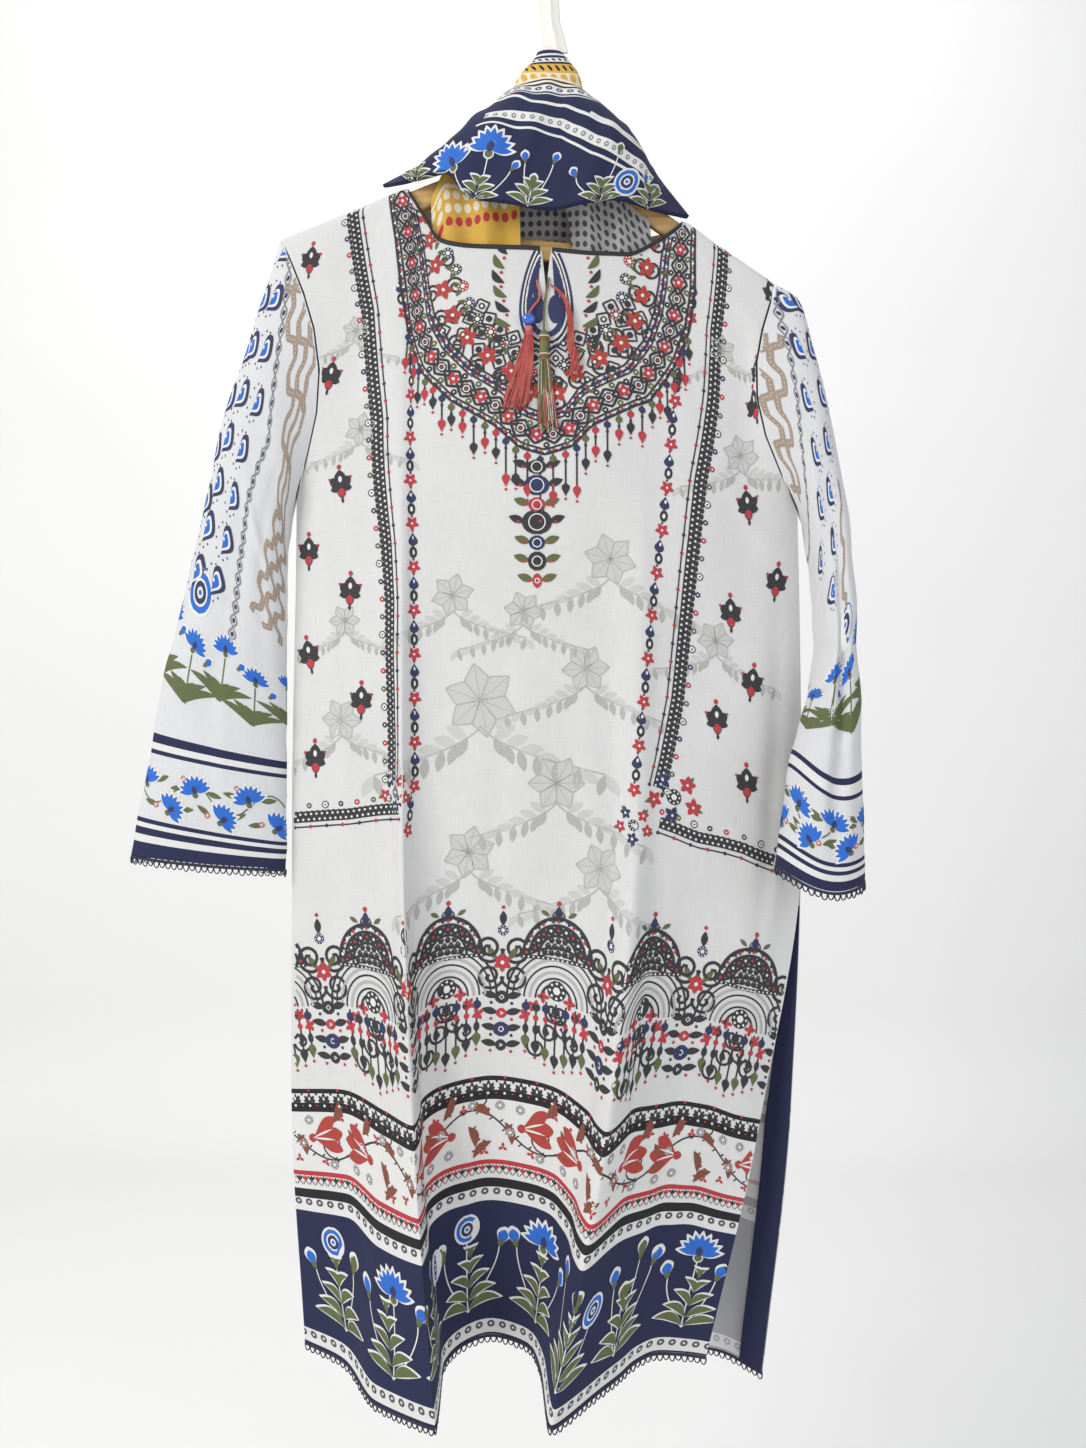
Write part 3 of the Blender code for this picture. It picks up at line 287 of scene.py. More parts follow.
def wall(name, outer, inner, finish, cloth=None, closed=False, keep=None):
    """A thin closed shell between two sheets of points in millimetres. keep marks the cells that stay."""
    height, width = outer.shape[:2]
    cells_across = width if closed else width - 1
    rows, columns = np.meshgrid(np.arange(height - 1), np.arange(cells_across), indexing="ij")
    if keep is not None:
        rows, columns = rows[keep], columns[keep]
    rows, columns = rows.ravel(), columns.ravel()
    right = (columns + 1) % width
    cells = np.stack((rows * width + columns, (rows + 1) * width + columns,
                      (rows + 1) * width + right, rows * width + right), axis=1)
    total = height * width
    starts, ends = cells.ravel(), np.roll(cells, -1, axis=1).ravel()
    rim = ~np.isin(starts * total + ends, ends * total + starts)
    starts, ends = starts[rim], ends[rim]
    edges = np.stack((ends, starts, starts + total, ends + total), axis=1)
    faces = np.concatenate((cells, cells[:, ::-1] + total, edges))
    points = np.concatenate((outer.reshape(-1, 3), inner.reshape(-1, 3))) * MM
    used = np.unique(faces)
    index = np.zeros(2 * total, dtype=int)
    index[used] = np.arange(len(used))
    mesh = bpy.data.meshes.new(name)
    mesh.from_pydata(points[used].tolist(), [], index[faces].tolist())
    if cloth is not None:
        sheet = np.concatenate((cloth.reshape(-1, 2), cloth.reshape(-1, 2)))
        layer = (np.arange(2 * total) >= total).astype(float)[:, None]
        values = np.concatenate((sheet, layer), axis=1)[used]
        mesh.attributes.new("cloth", "FLOAT_VECTOR", "POINT").data.foreach_set("vector", values.ravel())
    mesh.shade_smooth()
    mesh.set_sharp_from_angle(angle=math.radians(60))
    mesh.materials.append(finish)
    return link_object(name, mesh)


def cloth_map(grid, out, cloth, step=2.0):
    """The sheet looked up by cloth position: points and normals on an even grid of width and grain."""
    low, high = cloth[..., 0].min(), cloth[..., 0].max()
    widths = np.arange(low, high + step, step)
    top, foot = cloth[..., 1].min(), cloth[..., 1].max()
    grains = np.arange(top, foot + step, step)
    both = np.concatenate((grid, out, cloth[..., 1:2]), axis=2)
    even = np.array([[np.interp(widths, row[:, 0], values) for values in both[i].T]
                     for i, row in enumerate(cloth)])
    whole = np.array([[np.interp(grains, even[:, 6, k], even[:, c, k]) for c in range(6)]
                      for k in range(len(widths))])
    return {"low": low, "top": top, "step": step, "sheet": whole.transpose(2, 0, 1)}


def on_cloth(chart, width, grain, lift):
    """Points on the sheet, lifted off it by a height in millimetres."""
    sheet, step = chart["sheet"], chart["step"]
    u = np.clip((width - chart["low"]) / step, 0, sheet.shape[1] - 1.001)
    v = np.clip((grain - chart["top"]) / step, 0, sheet.shape[0] - 1.001)
    i, j = v.astype(int), u.astype(int)
    a, b = (v - i)[..., None], (u - j)[..., None]
    found = ((sheet[i, j] * (1 - b) + sheet[i, j + 1] * b) * (1 - a)
             + (sheet[i + 1, j] * (1 - b) + sheet[i + 1, j + 1] * b) * a)
    return found[..., :3] + found[..., 3:] * np.asarray(lift)[..., None]


def at_pixel(chart, pixels):
    """Cloth positions of places in the view, given as pixels of the full frame."""
    sheet = chart["sheet"]
    near = (-CAMERA_PLACE[1] / MM + sheet[..., 1]) / (-CAMERA_PLACE[1] / MM)
    px = (sheet[..., 0] - CAMERA_PLACE[0] / MM) / (PIXEL_MM * near) + CENTRE_PIXEL[0]
    py = (CAMERA_PLACE[2] / MM - sheet[..., 2]) / (PIXEL_MM * near) + CENTRE_PIXEL[1]
    made = []
    for x, y in pixels:
        far = (px - x) ** 2 + (py - y) ** 2
        score = far + np.where(far < far.min() + 9.0, (sheet[..., 1] + 200) * 0.05, 1e6)
        i, j = np.unravel_index(np.argmin(score), score.shape)
        made.append((chart["low"] + j * chart["step"], chart["top"] + i * chart["step"]))
    return np.array(made)


def crease_height(width, grain, table):
    """How far creases lift the cloth. Each row: width and grain at both ends, how wide, how deep."""
    height = np.zeros(width.shape)
    for w0, g0, w1, g1, wide, deep in table:
        run = np.array((w1 - w0, g1 - g0), dtype=float)
        share = np.clip(((width - w0) * run[0] + (grain - g0) * run[1]) / (run @ run), 0, 1)
        far = np.hypot(width - w0 - share * run[0], grain - g0 - share * run[1])
        height += deep * np.sin(math.pi * np.clip(0.1 + 0.8 * share, 0, 1)) * np.exp(-(far / wide) ** 2)
    return height


def creased(grid, out, cloth, table, seed, edge=22.0, soft=0.5):
    """The sheet with its creases and soft uneven waves, which die out at the edges."""
    width, grain = cloth[..., 0], cloth[..., 1]
    height = crease_height(width, grain, table)
    draw = np.random.default_rng(seed)
    for k in range(14):
        turn, phase = draw.uniform(0, math.pi), draw.uniform(0, 2 * math.pi)
        pitch = draw.uniform(28, 120)
        height += soft / 3 * math.sqrt(pitch / 60) * np.sin(
            2 * math.pi * (width * math.cos(turn) + grain * math.sin(turn) * 0.6) / pitch + phase)
    rim = np.minimum(width - width.min(axis=1, keepdims=True), width.max(axis=1, keepdims=True) - width)
    ends = np.minimum(grain - grain.min(axis=0, keepdims=True), grain.max(axis=0, keepdims=True) - grain)
    fade = np.clip(np.minimum(rim, ends) / edge, 0, 1)
    return grid + out * (height * fade)[..., None]


def panel(lines, side, middle, creases, seed, slit=False):
    """A body panel's sheet, its normals and its cloth positions."""
    shares = np.concatenate(((0.0, 0.013, 0.026, 0.04), np.linspace(0.06, 1.0, 42)[:-1]))
    grains = np.linspace(CHEST, HEM, 1 + round((HEM - CHEST) / CELL))
    made = [fold_line(line, shares, grains, side) for line in lines]
    points = np.array([points for points, _ in made])
    downs = np.array([down for _, down in made])
    reach = np.linalg.norm(np.diff(points, axis=0), axis=2).max(axis=1)
    places = []
    for i, length in enumerate(reach):
        count = max(2, round(length / CELL))
        places += [i + k / count for k in range(count)]
    places = np.tile(places + [len(lines) - 1.0], (points.shape[1], 1))
    if slit:
        ranks = np.arange(len(places))
        tapered = np.interp(ranks / len(shares), (0, SLIT_FOOT), (0.96, SLIT_SHUT))
        half = 0.5 * np.where(ranks < len(shares), tapered, SLIT_SHUT)
        inside = np.flatnonzero((places[0] > SLIT_LINE) & (places[0] < SLIT_LINE + 1))
        places = np.delete(places, inside, axis=1)
        cut = int(np.searchsorted(places[0], SLIT_LINE, side="right"))
        edges = SLIT_LINE + 0.5 + np.stack((-half, half), axis=1)
        places = np.concatenate((places[:, :cut], edges, places[:, cut:]), axis=1)
    grid = across(points, places)
    i = np.minimum(places.astype(int), len(lines) - 2)
    row = np.arange(len(places))[:, None]
    grain = downs[i, row] + (downs[i + 1, row] - downs[i, row]) * (places - i)
    steps = np.linalg.norm(np.diff(grid, axis=1), axis=2)
    width = np.concatenate((np.zeros((len(grid), 1)), np.cumsum(steps, axis=1)), axis=1)
    centre = np.array([np.interp(middle, places[k], width[k]) for k in range(len(grid))])
    cloth = np.stack((width - centre[:, None], grain), axis=2)
    grid = creased(grid, facing_out(grid, side), cloth, creases, seed)
    out = facing_out(grid, side)
    keep = None
    if slit:
        keep = np.ones((len(grid) - 1, grid.shape[1] - 1), dtype=bool)
        keep[:int(SLIT_FOOT * len(shares)) + 1, cut] = False
    return grid, out, cloth, keep


def inner_sheet(grid, out, side):
    """The wearer's side of a panel, kept off the other panel at the seams."""
    inner = grid - out * CLOTH_WALL
    inner[..., 1] = side * np.maximum(side * inner[..., 1], 0.15)
    return inner


FRONT_CREASES = (
    # width, grain at each end, wide, deep: drawn-in pleats of the yoke, drags at the side, soft folds
    (-205, 520, -196, 800, 7, 1.6), (-196, 800, -200, 900, 8, 1.2),
    (212, 560, 204, 900, 8, -2.0), (226, 640, 214, 860, 6, 1.6),
    (170, 700, 226, 712, 5, 1.4), (176, 742, 230, 760, 5, -1.5), (168, 790, 222, 812, 6, 1.5),
    (150, 470, 205, 540, 8, 1.2), (-200, 480, -150, 560, 8, 1.0),
    (30, 640, 44, 900, 9, 1.2), (-40, 660, -52, 930, 10, -1.1),
    (66, 860, 58, 1150, 8, 1.3), (110, 820, 120, 1100, 9, -1.4),
    (-120, 930, -128, 1200, 9, 1.2), (-60, 1000, -66, 1230, 8, 1.4), (20, 980, 14, 1225, 9, -1.4),
    (180, 1000, 176, 1220, 8, 1.2), (-230, 900, -236, 1150, 9, -1.2),
)
front_grid, front_out, front_cloth, front_keep = panel(FRONT_LINES, -1, SLIT_LINE + 0.5, FRONT_CREASES, 3,
                                                       slit=True)
front_chart = cloth_map(front_grid, front_out, front_cloth)


def declare(obj, node):
    """The piece rides the one body and stands for its CAD node."""
    obj.name = node + "_piece"
    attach(obj, "root")
    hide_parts(node)
    return obj


def weave_group():
    """Slubs and fine threads of plain-woven cotton. Cloth is millimetres across and along the grain."""
    group = bpy.data.node_groups.new("lawn weave", "ShaderNodeTree")
    group.interface.new_socket("Cloth", in_out="INPUT", socket_type="NodeSocketVector")
    group.interface.new_socket("Shade", in_out="OUTPUT", socket_type="NodeSocketFloat")
    group.interface.new_socket("Height", in_out="OUTPUT", socket_type="NodeSocketFloat")
    source = group.nodes.new("NodeGroupInput")
    result = group.nodes.new("NodeGroupOutput")
    parts = []
    for scale in ((0.045, 2.4, 1.0), (2.4, 0.05, 1.0)):
        spread_out = put(group, "ShaderNodeVectorMath", {0: source.outputs["Cloth"]}, operation="MULTIPLY")
        spread_out.inputs[1].default_value = scale
        slub = put(group, "ShaderNodeTexNoise",
                   {"Vector": spread_out.outputs[0], "Scale": 1.0, "Detail": 2.0})
        parts.append(slub.outputs["Fac"])
    both = put(group, "ShaderNodeMath", {0: parts[0], 1: parts[1]}, operation="ADD")
    cloud = put(group, "ShaderNodeTexNoise",
                {"Vector": source.outputs["Cloth"], "Scale": 0.02, "Detail": 3.0})
    mixed = put(group, "ShaderNodeMath", {0: cloud.outputs["Fac"], 1: 0.35, 2: both.outputs[0]},
                operation="MULTIPLY_ADD")
    shade = put(group, "ShaderNodeMapRange", {0: mixed.outputs[0], 1: 0.75, 2: 1.65, 3: 0.88, 4: 1.10})
    group.links.new(shade.outputs[0], result.inputs["Shade"])
    group.links.new(both.outputs[0], result.inputs["Height"])
    return group


def bead_group():
    """A mask of a row of oval dots at one grain level."""
    group = bpy.data.node_groups.new("bead row", "ShaderNodeTree")
    for name, kind in (("Cloth", "Vector"), ("Level", "Float"), ("Pitch", "Float"), ("Wide", "Float"),
                       ("Tall", "Float")):
        group.interface.new_socket(name, in_out="INPUT", socket_type="NodeSocket" + kind)
    group.interface.new_socket("Mask", in_out="OUTPUT", socket_type="NodeSocketFloat")
    source = group.nodes.new("NodeGroupInput")
    result = group.nodes.new("NodeGroupOutput")
    split = put(group, "ShaderNodeSeparateXYZ", {0: source.outputs["Cloth"]})
    turns = put(group, "ShaderNodeMath", {0: split.outputs[0], 1: source.outputs["Pitch"]},
                operation="DIVIDE")
    part = put(group, "ShaderNodeMath", {0: turns.outputs[0]}, operation="FRACT")
    middle = put(group, "ShaderNodeMath", {0: part.outputs[0], 1: 0.5}, operation="SUBTRACT")
    across_row = put(group, "ShaderNodeMath", {0: middle.outputs[0], 1: source.outputs["Pitch"]},
                     operation="MULTIPLY")
    u = put(group, "ShaderNodeMath", {0: across_row.outputs[0], 1: source.outputs["Wide"]},
            operation="DIVIDE")
    off = put(group, "ShaderNodeMath", {0: split.outputs[1], 1: source.outputs["Level"]},
              operation="SUBTRACT")
    v = put(group, "ShaderNodeMath", {0: off.outputs[0], 1: source.outputs["Tall"]}, operation="DIVIDE")
    uu = put(group, "ShaderNodeMath", {0: u.outputs[0], 1: u.outputs[0]}, operation="MULTIPLY")
    far = put(group, "ShaderNodeMath", {0: v.outputs[0], 1: v.outputs[0], 2: uu.outputs[0]},
              operation="MULTIPLY_ADD")
    mask = put(group, "ShaderNodeMapRange", {0: far.outputs[0], 1: 1.15, 2: 0.75, 3: 0.0, 4: 1.0})
    group.links.new(mask.outputs[0], result.inputs["Mask"])
    return group


WEAVE = weave_group()
BEAD_ROW = bead_group()
LAWN_ROUGHNESS = 0.9
REVERSE = (0.62, 0.62, 0.62)


def cloth_finish(name, bands, beads=(), fade_back=0.55):
    """Printed lawn. Bands run from the top: grain where each starts, colour. Bead rows: level, pitch,
    half width, half height, colour."""
    made, tree, shader = new_finish(name)
    cloth = put(tree, "ShaderNodeAttribute", attribute_name="cloth")
    split = put(tree, "ShaderNodeSeparateXYZ", {0: cloth.outputs["Vector"]})
    weave = put(tree, "ShaderNodeGroup")
    weave.node_tree = WEAVE
    tree.links.new(cloth.outputs["Vector"], weave.inputs["Cloth"])
    ramp = put(tree, "ShaderNodeValToRGB")
    ramp.color_ramp.interpolation = "CONSTANT"
    top, foot = bands[0][0], bands[-1][0] + 10.0
    share = put(tree, "ShaderNodeMapRange", {0: split.outputs[1], 1: top, 2: foot, 3: 0.0, 4: 1.0})
    tree.links.new(share.outputs[0], ramp.inputs[0])
    stops = ramp.color_ramp.elements
    while len(stops) < len(bands):
        stops.new(0.5)
    for stop, (start, colour) in zip(stops, bands):
        stop.position = (start - top) / (foot - top)
        stop.color = (*colour, 1)
    colour = ramp.outputs[0]
    for level, pitch, wide, tall, ink in beads:
        row = put(tree, "ShaderNodeGroup")
        row.node_tree = BEAD_ROW
        tree.links.new(cloth.outputs["Vector"], row.inputs["Cloth"])
        for key, value in (("Level", level), ("Pitch", pitch), ("Wide", wide), ("Tall", tall)):
            row.inputs[key].default_value = value
        mix = put(tree, "ShaderNodeMix", {0: row.outputs["Mask"], 6: colour, 7: (*ink, 1)}, data_type="RGBA")
        colour = mix.outputs[2]
    shaded = put(tree, "ShaderNodeMix", {0: 1.0, 6: colour, 7: weave.outputs["Shade"]},
                 data_type="RGBA", blend_type="MULTIPLY")
    pale = put(tree, "ShaderNodeMath", {0: split.outputs[2], 1: fade_back}, operation="MULTIPLY")
    reverse = put(tree, "ShaderNodeMix", {0: pale.outputs[0], 6: shaded.outputs[2], 7: (*REVERSE, 1)},
                  data_type="RGBA")
    tree.links.new(reverse.outputs[2], shader.inputs["Base Color"])
    bump = put(tree, "ShaderNodeBump",
               {"Height": weave.outputs["Height"], "Strength": 0.25, "Distance": 0.0004})
    tree.links.new(bump.outputs[0], shader.inputs["Normal"])
    shader.inputs["Roughness"].default_value = LAWN_ROUGHNESS
    return made


GROUND = (0.60, 0.60, 0.595)
WHITE = (0.64, 0.64, 0.63)
NAVY = (0.012, 0.016, 0.058)
BLACK = (0.012, 0.012, 0.016)
RED = (0.42, 0.035, 0.045)
BEAD_INK = (0.07, 0.07, 0.09)
FRONT_BANDS = (
    # grain where each band starts, colour
    (200, GROUND), (1010.5, BLACK), (1012.5, WHITE), (1024, BLACK), (1030, WHITE),
    (1085.5, RED), (1087.5, WHITE), (1099, RED), (1100.5, BLACK), (1109, WHITE), (1121, NAVY),
    (1124.5, WHITE), (1126.5, NAVY), (1227.5, WHITE), (1229.5, NAVY), (1233.5, WHITE), (1245.5, NAVY),
)
BEAD_ROWS = (
    # level, pitch, half width, half height, colour
    (1115, 10.5, 3.4, 3.2, BEAD_INK), (1239.5, 10.5, 3.4, 3.2, BEAD_INK),
    (1115, 10.5, 1.2, 1.1, WHITE), (1239.5, 10.5, 1.2, 1.1, WHITE),
)
front_lawn = cloth_finish("front lawn", FRONT_BANDS, BEAD_ROWS)
front = wall("front", front_grid, inner_sheet(front_grid, front_out, -1), front_lawn, cloth=front_cloth,
             keep=front_keep)
declare(front, "front")

# Back panel of the kameez
# The same lawn, cut like the front but with a high neck, and printed with the same hem bands. It hangs
# behind the front, joined to it only at the shoulders and the sides above the slits.
BACK_LINES = (
    ("left seam", 2, (-238, 2, -270), (-225, 2, 0), (-229, 2, 9), (-229, 5, 20), (-217, 4, 9)),
    ("left crest", 2, (-185, 2, -248.7), (-165, 20, 0), (-168, 22, 6), (-165, 30, 14), (-160, 38, 14)),
    ("neck left", 2, (-126, 2, -225), (-115, 24, 0), (-112, 22, 4), (-108, 18, 10), (-105, 14, 6)),
    ("neck left inner", 1, (-122.6, 10, -227), (-100, 24.5, 0), (-98, 23, 3), (-94, 22, 9), (-90, 22, 7)),
    ("left of centre", 2, (-88, 14, -241), (-65, 26, 0), (-62, 28, 2), (-60, 38, 8), (-55, 48, 12)),
    ("centre", 3, (0, 17, -252), (0, 26, 2), (0, 24, 4), (0, 20, 8), (-5, 16, 6)),
    ("right of centre", 2, (86, 14, -262), (65, 26, 6), (66, 27, 10), (66, 36, 18), (60, 46, 18)),
    ("neck right inner", 1, (119.6, 10, -255.5), (102, 24.5, 8),
     (104, 22.5, 14), (104, 22, 23), (98, 22, 21)),
    ("neck right", 2, (122.4, 2, -254), (118, 24, 9), (120, 21, 16), (122, 18, 24), (112, 16, 22)),
    ("right crest", 2, (165, 2, -283), (170, 18, 12), (175, 20, 24), (176, 28, 36), (160, 32, 36)),
    ("right seam", 0, (205, 2, -310.5), (225, 2, 11), (229, 2, 32), (221, 6, 40), (196, 10, 45)),
)
BACK_CREASES = (
    (-150, 520, -140, 900, 9, 1.6), (-60, 480, -48, 960, 10, -1.4), (40, 500, 52, 1000, 9, 1.5),
    (120, 540, 112, 940, 9, -1.5), (180, 700, 120, 722, 6, 1.2), (-200, 760, -130, 742, 6, 1.1),
    (-100, 900, -108, 1220, 9, 1.5), (10, 900, 4, 1220, 10, -1.4), (90, 920, 96, 1210, 9, 1.4),
    (170, 930, 164, 1200, 8, -1.3), (-190, 880, -196, 1200, 8, 1.2),
)
back_grid, back_out, back_cloth, _ = panel(BACK_LINES, 1, 5.0, BACK_CREASES, 5)
back_chart = cloth_map(back_grid, back_out, back_cloth)
back_lawn = cloth_finish("back lawn", FRONT_BANDS, BEAD_ROWS)
back = wall("back", back_grid, inner_sheet(back_grid, back_out, 1), back_lawn, cloth=back_cloth)
declare(back, "back")

# Sleeves
# Straight sleeves of the same lawn in its all-over print, each one tube set into the armhole and open
# at the cuff, with printed stripes and a navy band above the crochet edge.
SLEEVE_AROUND = 88
SLEEVE_STEP = 4.5
SEAM_STEP = 1.0
SEAM_GAP = 0.8
SLEEVE_LEFT = (
    # outer x, z, inner x, z, middle y, front, back, drop, crease
    (-238, -270, -225, -504, 0, 14, 14, 0, 0),
    (-253, -315, -230, -524, 0, 19, 15, 2, 0),
    (-269, -369, -232, -549, -2, 22, 16, 4, 0),
    (-290, -432, -233, -580, -3, 22, 16, 4, 1),
    (-305, -504, -233, -614, -4, 20, 15, 3, 2),
    (-321, -576, -233, -652, -5, 18, 14, 2, 2),
    (-339, -648, -233, -697, -6, 17, 13, 1, 2),
    (-353, -720, -233, -745, -6, 16, 12, 1, 1),
    (-366, -792, -233, -815, -6, 15, 12, 1, 0),
    (-372, -822, -234, -834, -6, 15, 12, 1, 0),
)
SLEEVE_RIGHT = (
    (205, -310.5, 225, -515, 0, 14, 14, 0, 0),
    (225, -324, 231, -531, -2, 22, 17, 3, 0),
    (237, -364, 233, -553, -5, 26, 19, 6, 0),
    (249, -421, 235, -577, -9, 28, 20, 8, 2),
    (260, -480, 236, -606, -14, 29, 20, 9, 4),
    (267, -547, 235, -640, -22, 30, 20, 10, 6),
    (269, -623, 228, -676, -32, 31, 20, 12, 8),
    (270, -693, 219, -704, -40, 31, 19, 14, 8),
    (270, -750, 210, -731, -46, 31, 19, 15, 6),
    (271, -801, 201, -783, -50, 31, 19, 14, 3),
    (271, -838, 195, -826, -52, 31, 19, 12, 0),
)


def sleeve_grid(table, left):
    """Rings of the sleeve, smooth between the rows of its table."""
    turn = 2 * math.pi * np.arange(SLEEVE_AROUND) / SLEEVE_AROUND
    share = (1 - np.cos(turn)) / 2
    near = turn <= math.pi
    side = np.where(near, -1.0, 1.0)
    swell = 2 * np.sqrt(np.maximum(share * (1 - share), 0))
    rings = []
    for index, row in enumerate(table):
        start, end = np.array((row[0], row[4], row[1])), np.array((row[2], row[4], row[3]))
        front_stand, back_stand, drop, crease = row[5:]
        fade = max(0.0, 1 - index / (len(table) - 1) / 0.42) ** 2
        ring = start + (end - start) * share[:, None]
        for face in (-1, 1):
            seam = armhole(left, face, share)
            tips = armhole(left, face, np.array((0.0, 1.0)))
            straight = tips[0] * (1 - share[:, None]) + tips[1] * share[:, None]
            ring[:, 0] += np.where(side == face, (seam - straight)[:, 0] * fade, 0.0)
        stand = np.where(near, front_stand, back_stand) * swell
        ring[:, 1] += side * (stand + SEAM_Y * fade * np.minimum(1.0, 4 * swell))
        ring[:, 1] += np.where(near, crease * np.exp(-((share - 0.45) / 0.12) ** 2), 0.0)
        ring[:, 2] -= np.where(near, drop * np.sin(math.pi * share), 0.0)
        rings.append(ring)
    rings = np.array(rings)
    step = rings[1] - rings[0]
    step /= np.linalg.norm(step, axis=1, keepdims=True)
    rings[0] += step * SEAM_STEP + np.array((-SEAM_GAP if left else SEAM_GAP, 0, 0))
    knots = run_along(rings.mean(axis=1))
    at = np.linspace(0, knots[-1], 1 + round(knots[-1] / SLEEVE_STEP))
    grid = glide(knots, rings, at)
    steps = np.linalg.norm(np.diff(grid, axis=1, append=grid[:, :1]), axis=2)
    width = np.cumsum(steps, axis=1) - steps
    width -= width[:, SLEEVE_AROUND // 4][:, None]
    grain = np.repeat(at[:, None], SLEEVE_AROUND, axis=1)
    return grid, np.stack((width, grain), axis=2)


def sleeve(name, table, left, creases, seed, finish):
    grid, cloth = sleeve_grid(table, left)
    out = facing_out(grid, -1, closed=True)
    width, grain = cloth[..., 0], cloth[..., 1]
    height = crease_height(width, grain, creases)
    draw = np.random.default_rng(seed)
    turn = 2 * math.pi * np.arange(SLEEVE_AROUND) / SLEEVE_AROUND
    for k in range(9):
        pitch, phase = draw.uniform(40, 130), draw.uniform(0, 2 * math.pi)
        height += 0.18 * np.sin(2 * math.pi * grain / pitch + phase + (k % 3) * turn[None])
    fade = np.clip(np.minimum(grain, grain.max() - grain) / 20.0, 0, 1)
    grid = grid + out * (height * fade)[..., None]
    out = facing_out(grid, -1, closed=True)
    made = wall(name, grid, grid - out * CLOTH_WALL, finish, cloth=cloth, closed=True)
    half = SLEEVE_AROUND // 2 + 1
    return made, grid, cloth_map(grid[:, :half], out[:, :half], cloth[:, :half])


SLEEVE_GROUND = (0.59, 0.595, 0.61)
LEFT_CREASES = (
    (-20, 120, 40, 150, 7, 1.6), (-40, 210, 30, 226, 6, -1.5), (0, 270, 10, 420, 7, 1.4),
    (-30, 330, 40, 352, 6, 1.4), (-20, 420, 30, 436, 6, -1.2), (24, 60, 34, 260, 8, -1.3),
)
RIGHT_CREASES = (
    (-14, 150, 36, 172, 6, 1.5), (-20, 240, 24, 252, 6, -1.3), (6, 200, 10, 400, 6, 1.5),
    (-22, 310, 30, 330, 6, 1.4), (-16, 400, 24, 414, 5, -1.2),
)
LEFT_BANDS = (
    (0, SLEEVE_GROUND), (346, NAVY), (353, WHITE), (359, NAVY), (363.5, SLEEVE_GROUND), (420, NAVY),
    (422.5, WHITE), (427, NAVY), (432.5, WHITE), (437, NAVY), (460, NAVY),
)
RIGHT_BANDS = (
    (0, SLEEVE_GROUND), (338, NAVY), (345, WHITE), (353, NAVY), (357.5, SLEEVE_GROUND), (411, NAVY),
    (413.5, WHITE), (417, NAVY), (422, WHITE), (427, NAVY), (450, NAVY),
)
left_lawn = cloth_finish("sleeve left lawn", LEFT_BANDS)
right_lawn = cloth_finish("sleeve right lawn", RIGHT_BANDS)
sleeve_left, left_rings, left_chart = sleeve("sleeve_left", SLEEVE_LEFT, True, LEFT_CREASES, 7, left_lawn)
sleeve_right, right_rings, right_chart = sleeve("sleeve_right", SLEEVE_RIGHT, False, RIGHT_CREASES, 8,
                                                right_lawn)
declare(sleeve_left, "sleeve_left")
declare(sleeve_right, "sleeve_right")


# Neck bindings
# A narrow dark piping, folded over the raw edge of the neckline and stitched down, in three stretches.
NECK_LEFT_LINE = 3
NECK_RIGHT_LINE = 14
BINDING_REACH = 4.5
BINDING_ROUND = (0.5, 1.35, 1.7, 1.35, 0.5)


def corded_finish(name, colour, light, scale=900.0, rough=0.75):
    """Wound or twilled thread: fine slanting ridges in two close tones."""
    made, tree, shader = new_finish(name)
    where = put(tree, "ShaderNodeTexCoord")
    place = where.outputs["Object"]
    wave = put(tree, "ShaderNodeTexWave",
               {"Vector": place, "Scale": scale, "Distortion": 1.5, "Detail": 1.0},
               bands_direction="DIAGONAL")
    cloud = put(tree, "ShaderNodeTexNoise", {"Vector": place, "Scale": 260.0, "Detail": 2.0})
    both = put(tree, "ShaderNodeMath", {0: wave.outputs["Fac"], 1: cloud.outputs["Fac"]},
               operation="MULTIPLY")
    two_tones(tree, shader, both.outputs[0], colour, light)
    bump = put(tree, "ShaderNodeBump", {"Height": wave.outputs["Fac"], "Strength": 0.4, "Distance": 0.0003})
    tree.links.new(bump.outputs[0], shader.inputs["Normal"])
    shader.inputs["Roughness"].default_value = rough
    return made


piping = corded_finish("piping", (0.012, 0.012, 0.02), (0.05, 0.05, 0.06))


def neck_binding(name, lines, side, start, end):
    """The piping between two places along a panel's top edge."""
    span = BINDING_REACH / (CHEST - 258.0)
    shares = np.linspace(0, span, len(BINDING_ROUND))
    points = np.array([fold_line(line, shares, np.array((HEM,)), side)[0][:len(shares)] for line in lines])
    places = np.tile(np.linspace(start, end, 90), (len(shares), 1))
    grid = across(points, places)
    out = facing_out(grid, side)
    top = grid + out * np.array(BINDING_ROUND)[:, None, None]
    return declare(wall(name, top, grid + out * 0.4, piping), name)


binding_left = neck_binding("neck_binding_left", FRONT_LINES, -1, NECK_LEFT_LINE + 1.0, SLIT_LINE)
binding_right = neck_binding("neck_binding_right", FRONT_LINES, -1, SLIT_LINE + 1, NECK_RIGHT_LINE - 1.0)
binding_back = neck_binding("neck_binding_back", BACK_LINES, 1, 3.0, 7.0)

